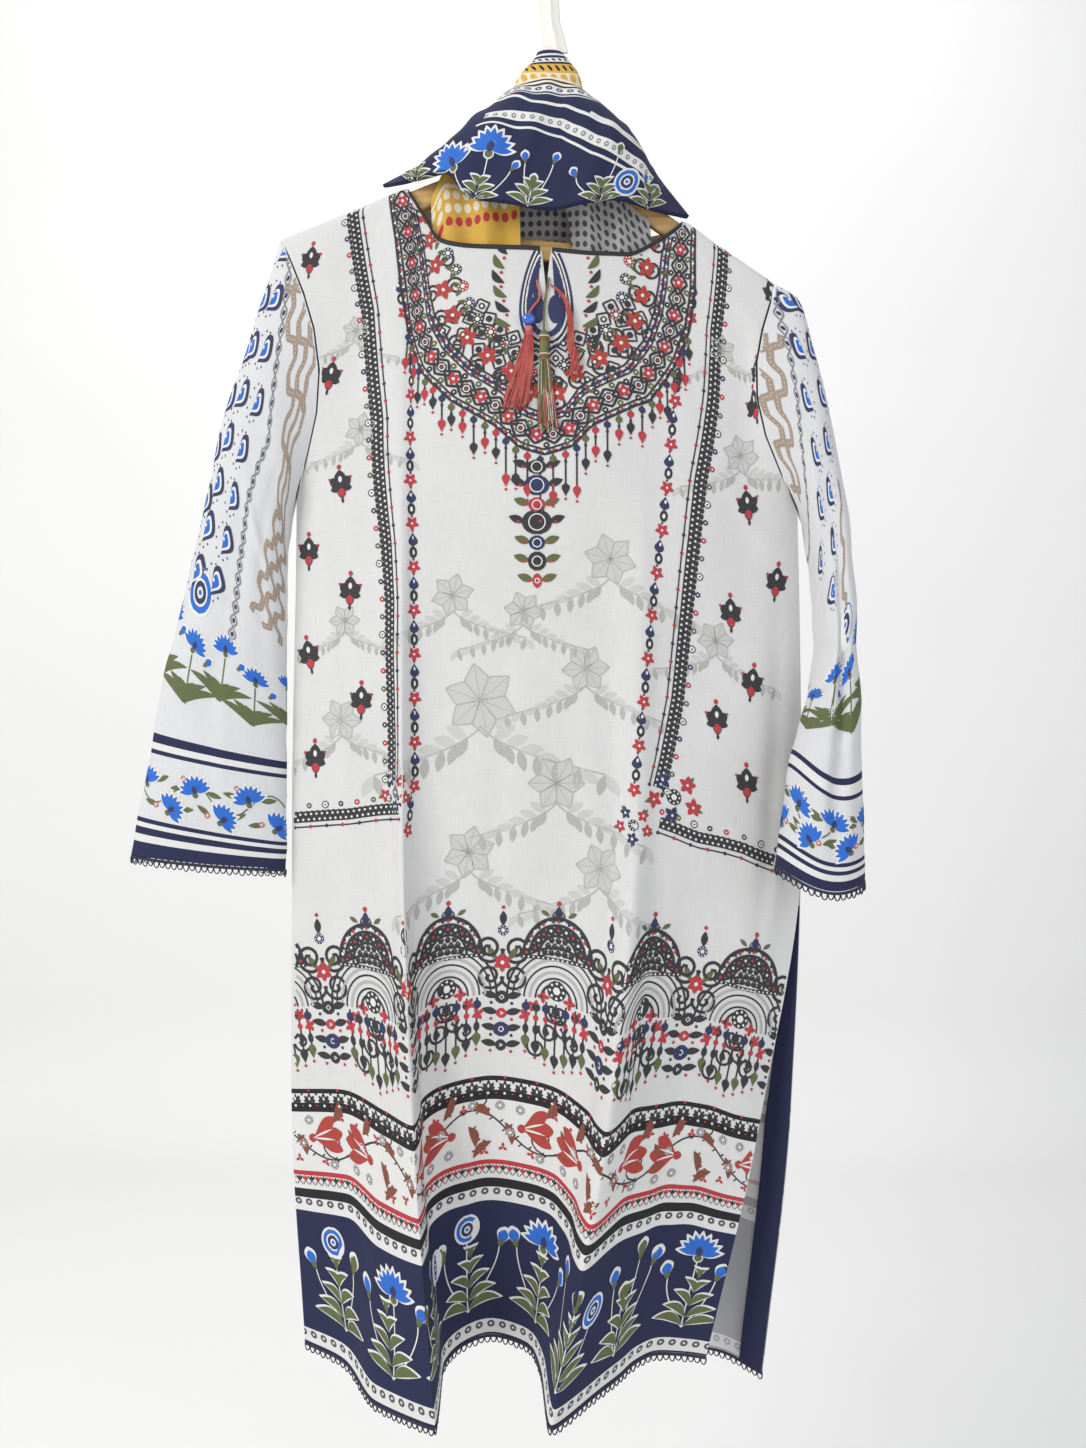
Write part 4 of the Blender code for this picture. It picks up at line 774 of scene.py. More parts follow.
# Slit facing
# A navy facing stitched inside the back panel along its right slit.
FACING_TOP = 835.0
FACING_WIDTH = 23.0
FACING_STAND = 2.2
facing_bands = ((0, NAVY), (1000, NAVY), (1100, NAVY))
facing_lawn = cloth_finish("facing lawn", facing_bands, fade_back=0.1)
levels = np.linspace(FACING_TOP, HEM - 1.0, 90)
last = len(BACK_LINES) - 1
lines = np.array([fold_line(line, np.array((1.0,)), levels, 1)[0][1:] for line in BACK_LINES])
right = across(lines, np.full((len(levels), 1), float(last)))[:, 0]
left = across(lines, np.full((len(levels), 1), last - 0.5))[:, 0]
inward = (left - right) / np.linalg.norm(left - right, axis=1, keepdims=True)
reach = FACING_WIDTH * np.minimum(1.0, 0.25 + 1.6 * np.linspace(0, 1, len(levels)))[:, None]
low = np.stack([right + inward * reach * share for share in np.linspace(0, 1, 5)], axis=1)
toward = facing_out(low, -1)
low += toward * FACING_STAND
facing_cloth = np.stack(np.meshgrid(np.linspace(0, FACING_WIDTH, 5), levels), axis=2)
slit_facing = wall("slit_facing", low + toward * CLOTH_WALL, low, facing_lawn, cloth=facing_cloth)
declare(slit_facing, "slit_facing")


# Crochet lace
# Navy cotton crochet worked onto the hems and the cuffs: a firm foot with a row of open loops below it.
LACE_FOOT = 2.6
LOOP_PITCH = 5.5
LOOP_DEPTH = 5.2
LOOP_THREAD = 0.62
crochet = corded_finish("crochet", (0.012, 0.012, 0.035), (0.05, 0.05, 0.09), scale=1400.0)


class Mesh:
    """Points, faces and their finishes, gathered for one joined mesh."""

    def __init__(self):
        self.points, self.faces, self.inks, self.count = [], [], [], 0

    def add(self, points, faces, ink=0):
        self.points.append(np.asarray(points, dtype=float).reshape(-1, 3))
        self.faces += [tuple(int(k) + self.count for k in face) for face in faces]
        self.inks += [ink] * len(faces)
        self.count += len(self.points[-1])

    def done(self, name, finishes, smooth=True):
        mesh = bpy.data.meshes.new(name)
        mesh.from_pydata((np.concatenate(self.points) * MM).tolist(), [], self.faces)
        for finish in finishes:
            mesh.materials.append(finish)
        mesh.polygons.foreach_set("material_index", self.inks)
        if smooth:
            mesh.shade_smooth()
            mesh.set_sharp_from_angle(angle=math.radians(50))
        return link_object(name, mesh)


def ring_faces(count, sides, closed=False):
    """Faces between rings of points, with both ends shut unless the last ring meets the first."""
    faces = []
    for i in range(count if closed else count - 1):
        n = (i + 1) % count
        faces += [(i * sides + k, i * sides + (k + 1) % sides, n * sides + (k + 1) % sides, n * sides + k)
                  for k in range(sides)]
    if not closed:
        faces += [tuple(range(sides))[::-1], tuple((count - 1) * sides + k for k in range(sides))]
    return faces


def strip_faces(strips, size):
    """Faces between strips of points that lie side by side."""
    return [(c * size + k, c * size + k + 1, (c + 1) * size + k + 1, (c + 1) * size + k)
            for c in range(strips) for k in range(size - 1)]


def tube(path, radius, sides=5, closed=False):
    """Points and faces of a round tube along a path. radius may change along it."""
    path = np.asarray(path, dtype=float)
    radius = np.broadcast_to(radius, len(path))
    along = np.roll(path, -1, axis=0) - np.roll(path, 1, axis=0) if closed else np.gradient(path, axis=0)
    along /= np.maximum(np.linalg.norm(along, axis=1, keepdims=True), 1e-9)
    helper = np.array((0.31, 0.88, 0.35))
    u = np.cross(along, helper)
    u /= np.maximum(np.linalg.norm(u, axis=1, keepdims=True), 1e-9)
    v = np.cross(along, u)
    turn = 2 * math.pi * np.arange(sides) / sides
    rings = path[:, None] + radius[:, None, None] * (u[:, None] * np.cos(turn)[:, None]
                                                     + v[:, None] * np.sin(turn)[:, None])
    return rings.reshape(-1, 3), ring_faces(len(path), sides, closed)


def lace_edge(name, edge, closed=False):
    """Crochet along an edge of points: a foot strip and loops that hang from it."""
    edge = np.asarray(edge, dtype=float)
    if closed:
        edge = np.concatenate((edge, edge[:1]))
    spots = run_along(edge)
    count = max(2, round(spots[-1] / LOOP_PITCH))
    at = np.linspace(0, spots[-1], 2 * count + 1)
    path = np.stack([np.interp(at, spots, edge[:, k]) for k in range(3)], axis=1)
    along = np.gradient(path, axis=0)
    out = np.stack((along[:, 1], -along[:, 0], np.zeros(len(path))), axis=1)
    out /= np.maximum(np.linalg.norm(out, axis=1, keepdims=True), 1e-9)
    work = Mesh()
    sheets = [path - (0, 0, 0.5 + depth) + out * face * 0.45 for face in (1, -1) for depth in (0, LACE_FOOT)]
    size = len(path)
    faces = []
    for i in range(size - 1):
        for a, b in ((0, 1), (1, 3), (3, 2), (2, 0)):
            faces.append((a * size + i, b * size + i, b * size + i + 1, a * size + i + 1))
    if not closed:
        faces += [(0, 2 * size, 3 * size, size),
                  (size - 1, 2 * size - 1, 4 * size - 1, 3 * size - 1)]
    work.add(np.concatenate(sheets), faces)
    for k in range(count):
        first, middle, end = path[2 * k], path[2 * k + 1], path[2 * k + 2]
        half = (end - first) / 2
        turns = np.linspace(0, math.pi, 7)
        deep = LOOP_DEPTH * (1 + 0.12 * math.sin(2.7 * k))
        loop = [middle - half * 0.92 * math.cos(turn) - np.array((0, 0, 2.4 + deep * math.sin(turn)))
                for turn in turns]
        work.add(*tube(loop, LOOP_THREAD, sides=4))
    return declare(work.done(name, [crochet]), name)


lace_front = lace_edge("lace_hem_front", front_grid[-1] - front_out[-1] * 0.35)
lace_back = lace_edge("lace_hem_back", back_grid[-1] - back_out[-1] * 0.35)
lace_left = lace_edge("lace_cuff_left", left_rings[-1], closed=True)
lace_right = lace_edge("lace_cuff_right", right_rings[-1], closed=True)

# Dupatta
# A long printed shawl of soft lawn, gathered over the hanger's neck: the hood in front, the crown that
# wraps the stem and falls behind, two folds inside the neckline and the stretch against the back.
DUPATTA_WALL = 0.9
DUPATTA_CELL = 3.2
HOOD_LINES = (
    # top, upper, lower, bottom: x, y, z
    ((-39.5, 2, -143), (-72, 2, -169), (-108, 2, -197), (-148, 0, -220)),
    ((-34.5, -9, -141), (-64, -18, -168), (-98, -20, -200), (-124, -16, -223)),
    ((-28, -13, -138), (-50, -29, -166), (-78, -34, -198), (-92, -33, -223)),
    ((-16, -16.5, -135), (-33, -36, -165), (-55, -44, -204), (-68, -44, -249)),
    ((0, -18, -133), (-8, -38, -165), (-18, -47, -208), (-30, -48, -256)),
    ((12, -17.2, -134), (13, -35, -165), (11, -43, -210), (2, -47, -261)),
    ((22, -15, -136), (30, -34, -165), (38, -44, -208), (32, -47, -255)),
    ((31, -10.5, -139), (50, -27, -166), (64, -37, -204), (62, -42, -250)),
    ((36.5, -4.5, -141), (65, -14, -168), (86, -22, -205), (96, -25, -252)),
    ((39.5, 2, -143), (76, 2, -171), (98, 2, -208), (128, 0, -248)),
)
HOOD_TURN = ((4.5, -1.5), (8.0, 2.0), (9.0, 12.0))
CROWN_RINGS = (
    # rings round the hanger's stem from the peak down: z, left x, right x, front y, back y
    (-102, -9, 14, -6, 6),
    (-108, -12, 19, -8, 8),
    (-124, -26, 30, -13, 13),
    (-141, -34, 34, -17, 18),
    (-160, -54, 54, -25, 23),
    (-180, -76, 72, -31, 27),
    (-197, -94, 82, -33, 30),
)
CROWN_PLEAT = 0.05
CROWN_BACK_LENGTH = 28.0
FOLD_LEFT = (
    # lines from left to right, with their points at the top, at the bar and at the end
    ((-104, -8, -236), (-102, -8, -280), (-100, -10, -338)),
    ((-90, -12, -214), (-86, -12, -278), (-84, -16, -342)),
    ((-76, -8, -214), (-70, -8.5, -276), (-70, -11, -344)),
    ((-58, -17, -212), (-54, -16, -277), (-56, -18, -342)),
    ((-40, -11, -210), (-36, -9, -276), (-38, -10, -340)),
    ((-26, -16, -208), (-24, -15, -276), (-26, -16, -336)),
)
FOLD_RIGHT = (
    ((10, -8.2, -208), (22, -7.2, -280), (24, -8.2, -336)),
    ((30, -16.2, -210), (36, -15.2, -282), (36, -16.2, -340)),
    ((46, -8.2, -222), (50, -8.2, -284), (50, -9.2, -344)),
    ((60, -14.2, -232), (64, -14.2, -286), (62, -16.2, -344)),
    ((76, -8.2, -244), (80, -7.2, -288), (78, -10.2, -342)),
    ((92, -7.2, -256), (94, -6.7, -290), (92, -11.2, -338)),
)
BACK_STRETCH = (
    ((-84, 9.5, -214), (-84, 9.5, -262), (-82, 10.5, -336)),
    ((-56, 11.3, -206), (-54, 11.0, -262), (-54, 13.5, -346)),
    ((-26, 9.5, -200), (-26, 9.5, -264), (-26, 11, -350)),
    ((4, 12, -198), (4, 11.8, -264), (4, 14, -352)),
    ((32, 9.5, -204), (34, 9.5, -266), (34, 11, -350)),
    ((58, 11.3, -216), (62, 11.0, -268), (62, 13.5, -348)),
    ((82, 9.5, -232), (88, 9.0, -272), (88, 10.5, -344)),
)


def loft(lines, cell=DUPATTA_CELL):
    """A smooth grid through lines of points in millimetres."""
    points = np.array(lines, dtype=float)
    down = np.linalg.norm(np.diff(points, axis=1), axis=2).max(axis=0)
    side = np.linalg.norm(np.diff(points, axis=0), axis=2).max(axis=1)
    rows = np.concatenate([k + np.arange(round(d / cell)) / round(d / cell) for k, d in enumerate(down)]
                          + [np.array((len(down),))])
    columns = np.concatenate([k + np.arange(max(2, round(d / cell))) / max(2, round(d / cell))
                              for k, d in enumerate(side)] + [np.array((len(side),))])
    grid = glide(np.arange(points.shape[1]), points.transpose(1, 0, 2), rows)
    return glide(np.arange(points.shape[0]), grid.transpose(1, 0, 2), columns).transpose(1, 0, 2)


def measured(grid):
    """Cloth positions of a grid: distance from the middle column, and down from the first row."""
    steps = np.linalg.norm(np.diff(grid, axis=1), axis=2)
    width = np.concatenate((np.zeros((len(grid), 1)), np.cumsum(steps, axis=1)), axis=1)
    width -= width[:, grid.shape[1] // 2][:, None]
    fall = np.linalg.norm(np.diff(grid, axis=0), axis=2)
    grain = np.concatenate((np.zeros((1, grid.shape[1])), np.cumsum(fall, axis=0)))
    return np.stack((width, grain), axis=2)


def ripple(grid, out, cloth, seed, depth, pitch):
    """Soft uneven ripples that die out at the borders."""
    draw = np.random.default_rng(seed)
    height = np.zeros(grid.shape[:2])
    for _ in range(9):
        turn, phase = draw.uniform(-0.7, 0.7), draw.uniform(0, 2 * math.pi)
        length = draw.uniform(0.6, 1.6) * pitch
        height += depth / 3 * np.sin(2 * math.pi * (cloth[..., 0] * math.cos(turn)
                                                    + cloth[..., 1] * math.sin(turn)) / length + phase)
    rows, columns = np.indices(height.shape)
    rim = np.minimum(np.minimum(columns, height.shape[1] - 1 - columns),
                     np.minimum(rows, height.shape[0] - 1 - rows))
    return grid + out * (height * np.clip(rim / 4, 0, 1))[..., None]


def draped(name, lines, finish, turn=(), seed=1, depth=0.5, pitch=26.0):
    """A stretch of the dupatta as a thin shell that faces the front, its lower edge turned in where given."""
    grid = loft(lines)
    cloth = measured(grid)
    grid = ripple(grid, facing_out(grid, -1), cloth, seed, depth, pitch)
    if turn:
        bottom = grid[-1]
        upward = grid[-2] - bottom
        upward /= np.linalg.norm(upward, axis=1, keepdims=True)
        inward = -facing_out(grid, -1)[-1] * (1, 1, 0)
        inward /= np.linalg.norm(inward, axis=1, keepdims=True)
        steps = np.array([(0.0, 0.0)] + list(turn))
        for back_step, up_step in glide(np.arange(len(steps)), steps, np.linspace(0, len(steps) - 1, 10)[1:]):
            grid = np.concatenate((grid, (bottom + inward * back_step + upward * up_step)[None]))
        cloth = measured(grid)
    out = facing_out(grid, -1)
    made = wall(name, grid, grid - out * DUPATTA_WALL, finish, cloth=cloth)
    declare(made, name)
    return made, cloth_map(grid, out, cloth, step=1.0)


GOLD = (0.60, 0.36, 0.06)
CREAM = (0.72, 0.66, 0.52)
HOOD_BANDS = (
    (0, CREAM), (3, BLACK), (6, CREAM), (10, NAVY), (14, WHITE), (24, NAVY), (26, WHITE), (28, NAVY),
    (180, NAVY),
)
hood_lawn = cloth_finish("hood lawn", HOOD_BANDS, ((19, 9.5, 3.2, 3.0, BEAD_INK), (19, 9.5, 1.1, 1.0, WHITE)),
                         fade_back=0.2)
hood, hood_chart = draped("dupatta_hood", HOOD_LINES, hood_lawn, turn=HOOD_TURN, seed=11,
                                     depth=0.9, pitch=30.0)
CROWN_BANDS = (
    (0, NAVY), (4, WHITE), (6, NAVY), (9, WHITE), (14, BLACK), (16, GOLD), (26, CREAM), (38, BLACK),
    (40, GOLD), (54, CREAM), (60, NAVY), (66, WHITE), (70, NAVY), (130, NAVY), (140, NAVY),
)
crown_lawn = cloth_finish("crown lawn", CROWN_BANDS, ((11.5, 6.0, 1.6, 1.4, BLACK), (32, 9.0, 3.2, 4.6, GOLD),
                                                      (21, 7.0, 1.6, 3.4, BLACK), (47, 7.0, 2.4, 5.2, RED)),
                          fade_back=0.2)
FOLD_BANDS = ((0, GOLD), (10, CREAM), (14, GOLD), (40, GOLD), (140, GOLD))
gold_lawn = cloth_finish("gold lawn", FOLD_BANDS, ((20, 9.0, 3.4, 4.4, CREAM), (32, 9.0, 3.4, 4.4, CREAM),
                                                   (44, 9.0, 3.4, 4.4, RED)), fade_back=0.2)
GREY_BANDS = ((0, (0.42, 0.41, 0.40)), (60, (0.40, 0.39, 0.38)), (160, (0.40, 0.39, 0.38)))
GREY_DOTS = tuple((7 + 9 * k, 7.5, 2.5, 2.9, BEAD_INK) for k in range(9))
grey_lawn = cloth_finish("grey lawn", GREY_BANDS, GREY_DOTS, fade_back=0.3)

CROWN_AROUND = 96
CROWN_DOWN = 34
turn = 2 * math.pi * np.arange(CROWN_AROUND) / CROWN_AROUND
rings = np.array(CROWN_RINGS, dtype=float)[::-1]
shares = np.linspace(0, 1, CROWN_DOWN)
heights = CROWN_RINGS[0][0] + (CROWN_RINGS[-1][0] - CROWN_RINGS[0][0]) * shares ** 0.9
left_x, right_x, front_y, back_y = glide(rings[:, 0], rings[:, 1:], heights).T[..., None]
x = (left_x + right_x) / 2 - np.cos(turn) * (right_x - left_x) / 2
y = np.where(turn <= math.pi, front_y, -back_y) * np.sin(turn)
pleats = 1 + (CROWN_PLEAT * np.sin(5 * turn + 1.0) + 0.03 * np.sin(13 * turn + 0.4)) * shares[:, None]
fall = CROWN_BACK_LENGTH * np.maximum(0.0, -np.sin(turn)) * shares[:, None] ** 2
crown_grid = np.stack((x, y * pleats, heights[:, None] - fall), axis=2)
crown_out = facing_out(crown_grid, -1, closed=True)
crown_cloth = measured(crown_grid)
crown = wall("dupatta_crown", crown_grid, crown_grid - crown_out * DUPATTA_WALL, crown_lawn,
             cloth=crown_cloth, closed=True)
declare(crown, "dupatta_crown")
fold_left, _ = draped("dupatta_fold_left", FOLD_LEFT, gold_lawn, seed=12)
fold_right, _ = draped("dupatta_fold_right", FOLD_RIGHT, grey_lawn, seed=13)
back_stretch, _ = draped("dupatta_back", BACK_STRETCH, grey_lawn, seed=14)


# Wooden hanger
# Shaped shoulder arms with a round-edged trouser bar, in clear-varnished light wood.
ARM_HEIGHT = 21.0
ARM_THICKNESS = 11.0
ARM_ENDS = (-216.0, 182.0)
ARM_BELOW_SHOULDER = 3.6
ARM_PEAK_ROUNDING = 9.0
LEFT_NECK = (-126.0, -225.0)
RIGHT_NECK = (122.4, -254.0)
BAR = ((-180.0, -262.0), (164.0, -298.0))
BAR_HEIGHT = 19.0
BAR_THICKNESS = 9.0
STEM_X = 3.0
STEM_TOP = -102.1
STEM_RADIUS = 2.4


def arm_top(x):
    """Height of the arms' upper edge, rounded where the two slopes meet under the stem."""
    left_slope = (LEFT_NECK[1] - LEFT_TIP[1]) / (LEFT_NECK[0] - LEFT_TIP[0])
    right_slope = (RIGHT_TIP[1] - RIGHT_NECK[1]) / (RIGHT_TIP[0] - RIGHT_NECK[0])
    left = LEFT_TIP[1] + left_slope * (x - LEFT_TIP[0])
    right = RIGHT_NECK[1] + right_slope * (x - RIGHT_NECK[0])
    return (left + right - np.sqrt((left - right) ** 2 + ARM_PEAK_ROUNDING ** 2)) / 2 - ARM_BELOW_SHOULDER


def beam(stations, height_half, thick_half, slim, sides=28):
    """Points and faces of a rounded beam through stations of x and z, slimmer where slim is under 1."""
    turn = 2 * math.pi * (np.arange(sides) + 0.5) / sides
    flat = np.abs(np.cos(turn)) ** 0.6 * np.sign(np.cos(turn))
    tall = np.abs(np.sin(turn)) ** 0.6 * np.sign(np.sin(turn))
    stations = np.asarray(stations, dtype=float)
    slim = np.asarray(slim)[:, None]
    x = np.repeat(stations[:, :1], sides, axis=1)
    points = np.stack((x, flat * thick_half * slim, stations[:, 1:] + tall * height_half * slim), axis=2)
    return points, ring_faces(len(stations), sides)


wood, tree, shader = new_finish("varnished wood")
where = put(tree, "ShaderNodeTexCoord")
long_way = put(tree, "ShaderNodeMapping", {"Vector": where.outputs["Object"]})
long_way.inputs["Scale"].default_value = (6.0, 60.0, 60.0)
fibres = put(tree, "ShaderNodeTexNoise", {"Vector": long_way.outputs[0], "Scale": 6.0, "Detail": 6.0,
                                          "Distortion": 0.6})
rings_wave = put(tree, "ShaderNodeTexWave", {"Vector": long_way.outputs[0], "Scale": 0.8, "Distortion": 6.0,
                                             "Detail": 2.0}, bands_direction="Z")
tones = put(tree, "ShaderNodeMath", {0: fibres.outputs["Fac"], 1: rings_wave.outputs["Fac"]},
            operation="MULTIPLY")
two_tones(tree, shader, tones.outputs[0], (0.66, 0.42, 0.17), (0.44, 0.25, 0.09))
shader.inputs["Roughness"].default_value = 0.38
shader.inputs["Coat Weight"].default_value = 0.25

spots = np.linspace(*ARM_ENDS, 72)
slim = np.interp(np.arange(72), (0, 2, 5, 66, 69, 71), (0.55, 0.86, 1.0, 1.0, 0.86, 0.55))
hanger_work = Mesh()
hanger_work.add(*beam(np.stack((spots, arm_top(spots) - ARM_HEIGHT / 2), axis=1), ARM_HEIGHT / 2,
                      ARM_THICKNESS / 2, slim))
bar_x = np.linspace(BAR[0][0], BAR[1][0], 24)
bar_z = np.interp(bar_x, (BAR[0][0], BAR[1][0]), (BAR[0][1], BAR[1][1]))
hanger_work.add(*beam(np.stack((bar_x, bar_z), axis=1), BAR_HEIGHT / 2, BAR_THICKNESS / 2, np.ones(24)))
declare(hanger_work.done("hanger", [wood]), "hanger")

steel, tree, shader = new_finish("plated steel")
scratches = put(tree, "ShaderNodeTexNoise", {"Scale": 380.0, "Detail": 3.0})
tone = put(tree, "ShaderNodeMapRange", {0: scratches.outputs["Fac"], 1: 0.3, 2: 0.7, 3: 0.2, 4: 0.42})
tree.links.new(tone.outputs[0], shader.inputs["Roughness"])
two_tones(tree, shader, scratches.outputs["Fac"], (0.55, 0.55, 0.56), (0.66, 0.66, 0.65))
shader.inputs["Metallic"].default_value = 1.0
stem_foot = float(arm_top(STEM_X)) + 0.45
stem_z = np.linspace(STEM_TOP, stem_foot, 40)
ridge = STEM_RADIUS - 0.25 * (np.arange(40) % 2)
stem_work = Mesh()
stem_work.add(*tube(np.stack((np.full(40, STEM_X), np.zeros(40), stem_z), axis=1), ridge, sides=18))
declare(stem_work.done("hanger_stem", [steel]), "hanger_stem")

# Plastic hook
# A flat off-white strap that flares over the stem, rises and bends over the rail, with a raised ridge
# along its face and rounded long edges.
HOOK_THICKNESS = 2.5
HOOK_RADIUS = 9.0
HOOK_PATH = (
    # x, y, z, width
    (7.0, 0.0, -101.7, 25.0), (5.0, 0.0, -88.0, 22.0), (2.0, -1.0, -74.0, 20.0), (1.0, -4.0, -58.0, 20.0),
    (0.0, -8.0, -38.0, 20.0),
)
HOOK_TAIL = (0.0, -34.0, 18.0)
HOOK_SECTION = (
    # share of the width, how far the face stands out
    (-0.5, -1.0), (-0.47, -0.3), (-0.42, 0.0), (0.04, 0.0), (0.07, 0.5), (0.12, 0.5), (0.15, 0.0),
    (0.42, 0.0), (0.47, -0.3), (0.5, -1.0),
)
middle = HOOK_RADIUS + HOOK_THICKNESS / 2
stations = list(HOOK_PATH) + [(0.0, -middle, -20.0, 20.0)]
for k in range(25):
    angle = math.pi * k / 24
    stations.append((0.0, -middle * math.cos(angle), -HOOK_RADIUS + middle * math.sin(angle), 20.0))
stations.append((HOOK_TAIL[0], middle, HOOK_TAIL[1], HOOK_TAIL[2]))
stations = np.array(stations)
knots = run_along(stations[:, :3])
smooth = glide(knots, stations, np.linspace(0, knots[-1], 110))
along = np.gradient(smooth[:, 1:3], axis=0)
along /= np.linalg.norm(along, axis=1, keepdims=True)
away = np.stack((-along[:, 1], along[:, 0]), axis=1)
sheets = []
for sign in (1, -1):
    sheet = []
    for share, stand in HOOK_SECTION:
        reach = sign * (HOOK_THICKNESS / 2 + (stand if sign > 0 or stand < 0 else 0.0))
        sheet.append(np.stack((smooth[:, 0] + smooth[:, 3] * share, smooth[:, 1] + away[:, 0] * reach,
                               smooth[:, 2] + away[:, 1] * reach), axis=1))
    sheets.append(np.stack(sheet, axis=1))
plastic, tree, shader = new_finish("white plastic")
mottle = put(tree, "ShaderNodeTexNoise", {"Scale": 60.0, "Detail": 3.0})
two_tones(tree, shader, mottle.outputs["Fac"], (0.74, 0.72, 0.67), (0.82, 0.80, 0.76))
shader.inputs["Roughness"].default_value = 0.42
shader.inputs["Subsurface Weight"].default_value = 0.08
shader.inputs["Subsurface Radius"].default_value = (0.004, 0.004, 0.003)
declare(wall("hook", sheets[0], sheets[1], plastic), "hook")

# Neck tie
# Two thin twisted cords leave the foot of the slit. The left one carries a glass bead and a salmon
# tassel, the right one an olive tassel, and a loose skein of coral threads falls beside them.
CORD_LEFT = (
    # x, z, lift off the yoke
    (-9.0, -316, 0.0), (-8.0, -322, 0.0), (-6.0, -328.5, 0.0), (-7.5, -334, 0.0), (-12.0, -340, 0.8),
    (-15.7, -346.5, 3.2),
)
CORD_RIGHT = (
    (1.5, -314, 0.0), (0.6, -320, 0.0), (-1.0, -328, 0.0), (-2.0, -336, 0.0), (-2.6, -345, 0.0),
    (-2.8, -353, 0.6), (-2.6, -362.3, 2.4),
)
CORD_RADIUS = 1.1
TIE_STAND = 0.4
salmon = corded_finish("salmon thread", (0.50, 0.10, 0.08), (0.72, 0.30, 0.24), scale=1100.0, rough=0.55)
olive_thread = corded_finish("olive thread", (0.10, 0.10, 0.03), (0.30, 0.28, 0.10), scale=1100.0, rough=0.55)
red_thread = corded_finish("red thread", (0.36, 0.03, 0.04), (0.60, 0.09, 0.09), scale=1100.0, rough=0.55)
white_thread = corded_finish("white thread", (0.62, 0.60, 0.56), (0.78, 0.76, 0.72), scale=1100.0, rough=0.6)
yoke = front_chart["sheet"][:160]


def yoke_y(x, z):
    """How far forward the front panel reaches at a place on the yoke."""
    far = (yoke[..., 0] - x) ** 2 + (yoke[..., 2] - z) ** 2
    i, j = np.unravel_index(np.argmin(far), far.shape)
    return float(yoke[i, j, 1])


def tie_cord(name, route, finish):
    """Two plies wound round a smooth route that lies on the yoke."""
    route = np.array(route, dtype=float)
    at = np.linspace(0, len(route) - 1, 60)
    x, z, lift = glide(np.arange(len(route)), route, at).T
    y = np.array([yoke_y(*spot) for spot in zip(x, z)])
    y = np.convolve(np.pad(y, 4, mode="edge"), np.ones(9) / 9, mode="valid") - TIE_STAND - CORD_RADIUS - lift
    line = np.stack((x, y, z), axis=1)
    length = float(np.linalg.norm(np.diff(line, axis=0), axis=1).sum())
    work = Mesh()
    spin = np.linspace(0, 2 * math.pi * length / 4.5, len(line))
    along = np.gradient(line, axis=0)
    along /= np.linalg.norm(along, axis=1, keepdims=True)
    u = np.cross(along, (0.0, 1.0, 0.0))
    u /= np.linalg.norm(u, axis=1, keepdims=True)
    v = np.cross(along, u)
    for phase in (0.0, math.pi):
        ply = line + (u * np.cos(spin + phase)[:, None] + v * np.sin(spin + phase)[:, None]) * 0.5
        work.add(*tube(ply, 0.6, sides=8))
    made = declare(work.done(name, [finish]), name)


tie_cord("tie_cord_left", CORD_LEFT, salmon)
tie_cord("tie_cord_right", CORD_RIGHT, olive_thread)

glass, tree, shader = new_finish("blue glass")
swirl = put(tree, "ShaderNodeTexWave", {"Scale": 90.0, "Distortion": 5.0}, bands_direction="Z")
two_tones(tree, shader, swirl.outputs["Fac"], (0.01, 0.05, 0.38), (0.04, 0.20, 0.70))
shader.inputs["Roughness"].default_value = 0.12
shader.inputs["Coat Weight"].default_value = 0.6
BEAD_CENTRE = (-16.0, -352.2)
BEAD_RADII = (5.9, 4.3, 5.1)
u, v = np.meshgrid(np.linspace(0, 2 * math.pi, 33)[:-1], np.linspace(0.12, math.pi - 0.12, 17))
ball = np.stack((np.cos(u) * np.sin(v), np.sin(u) * np.sin(v), np.cos(v)), axis=2) * BEAD_RADII
bead_y = min(yoke_y(BEAD_CENTRE[0] + k, BEAD_CENTRE[1]) for k in (-2.7, 0, 2.7)) - TIE_STAND - BEAD_RADII[1]
ball += (BEAD_CENTRE[0], bead_y, BEAD_CENTRE[1])
bead_work = Mesh()
bead_work.add(ball, ring_faces(17, 32))
declare(bead_work.done("tie_bead", [glass]), "tie_bead")
TASSEL_STRANDS = 90
STRAND_RADIUS = 0.36


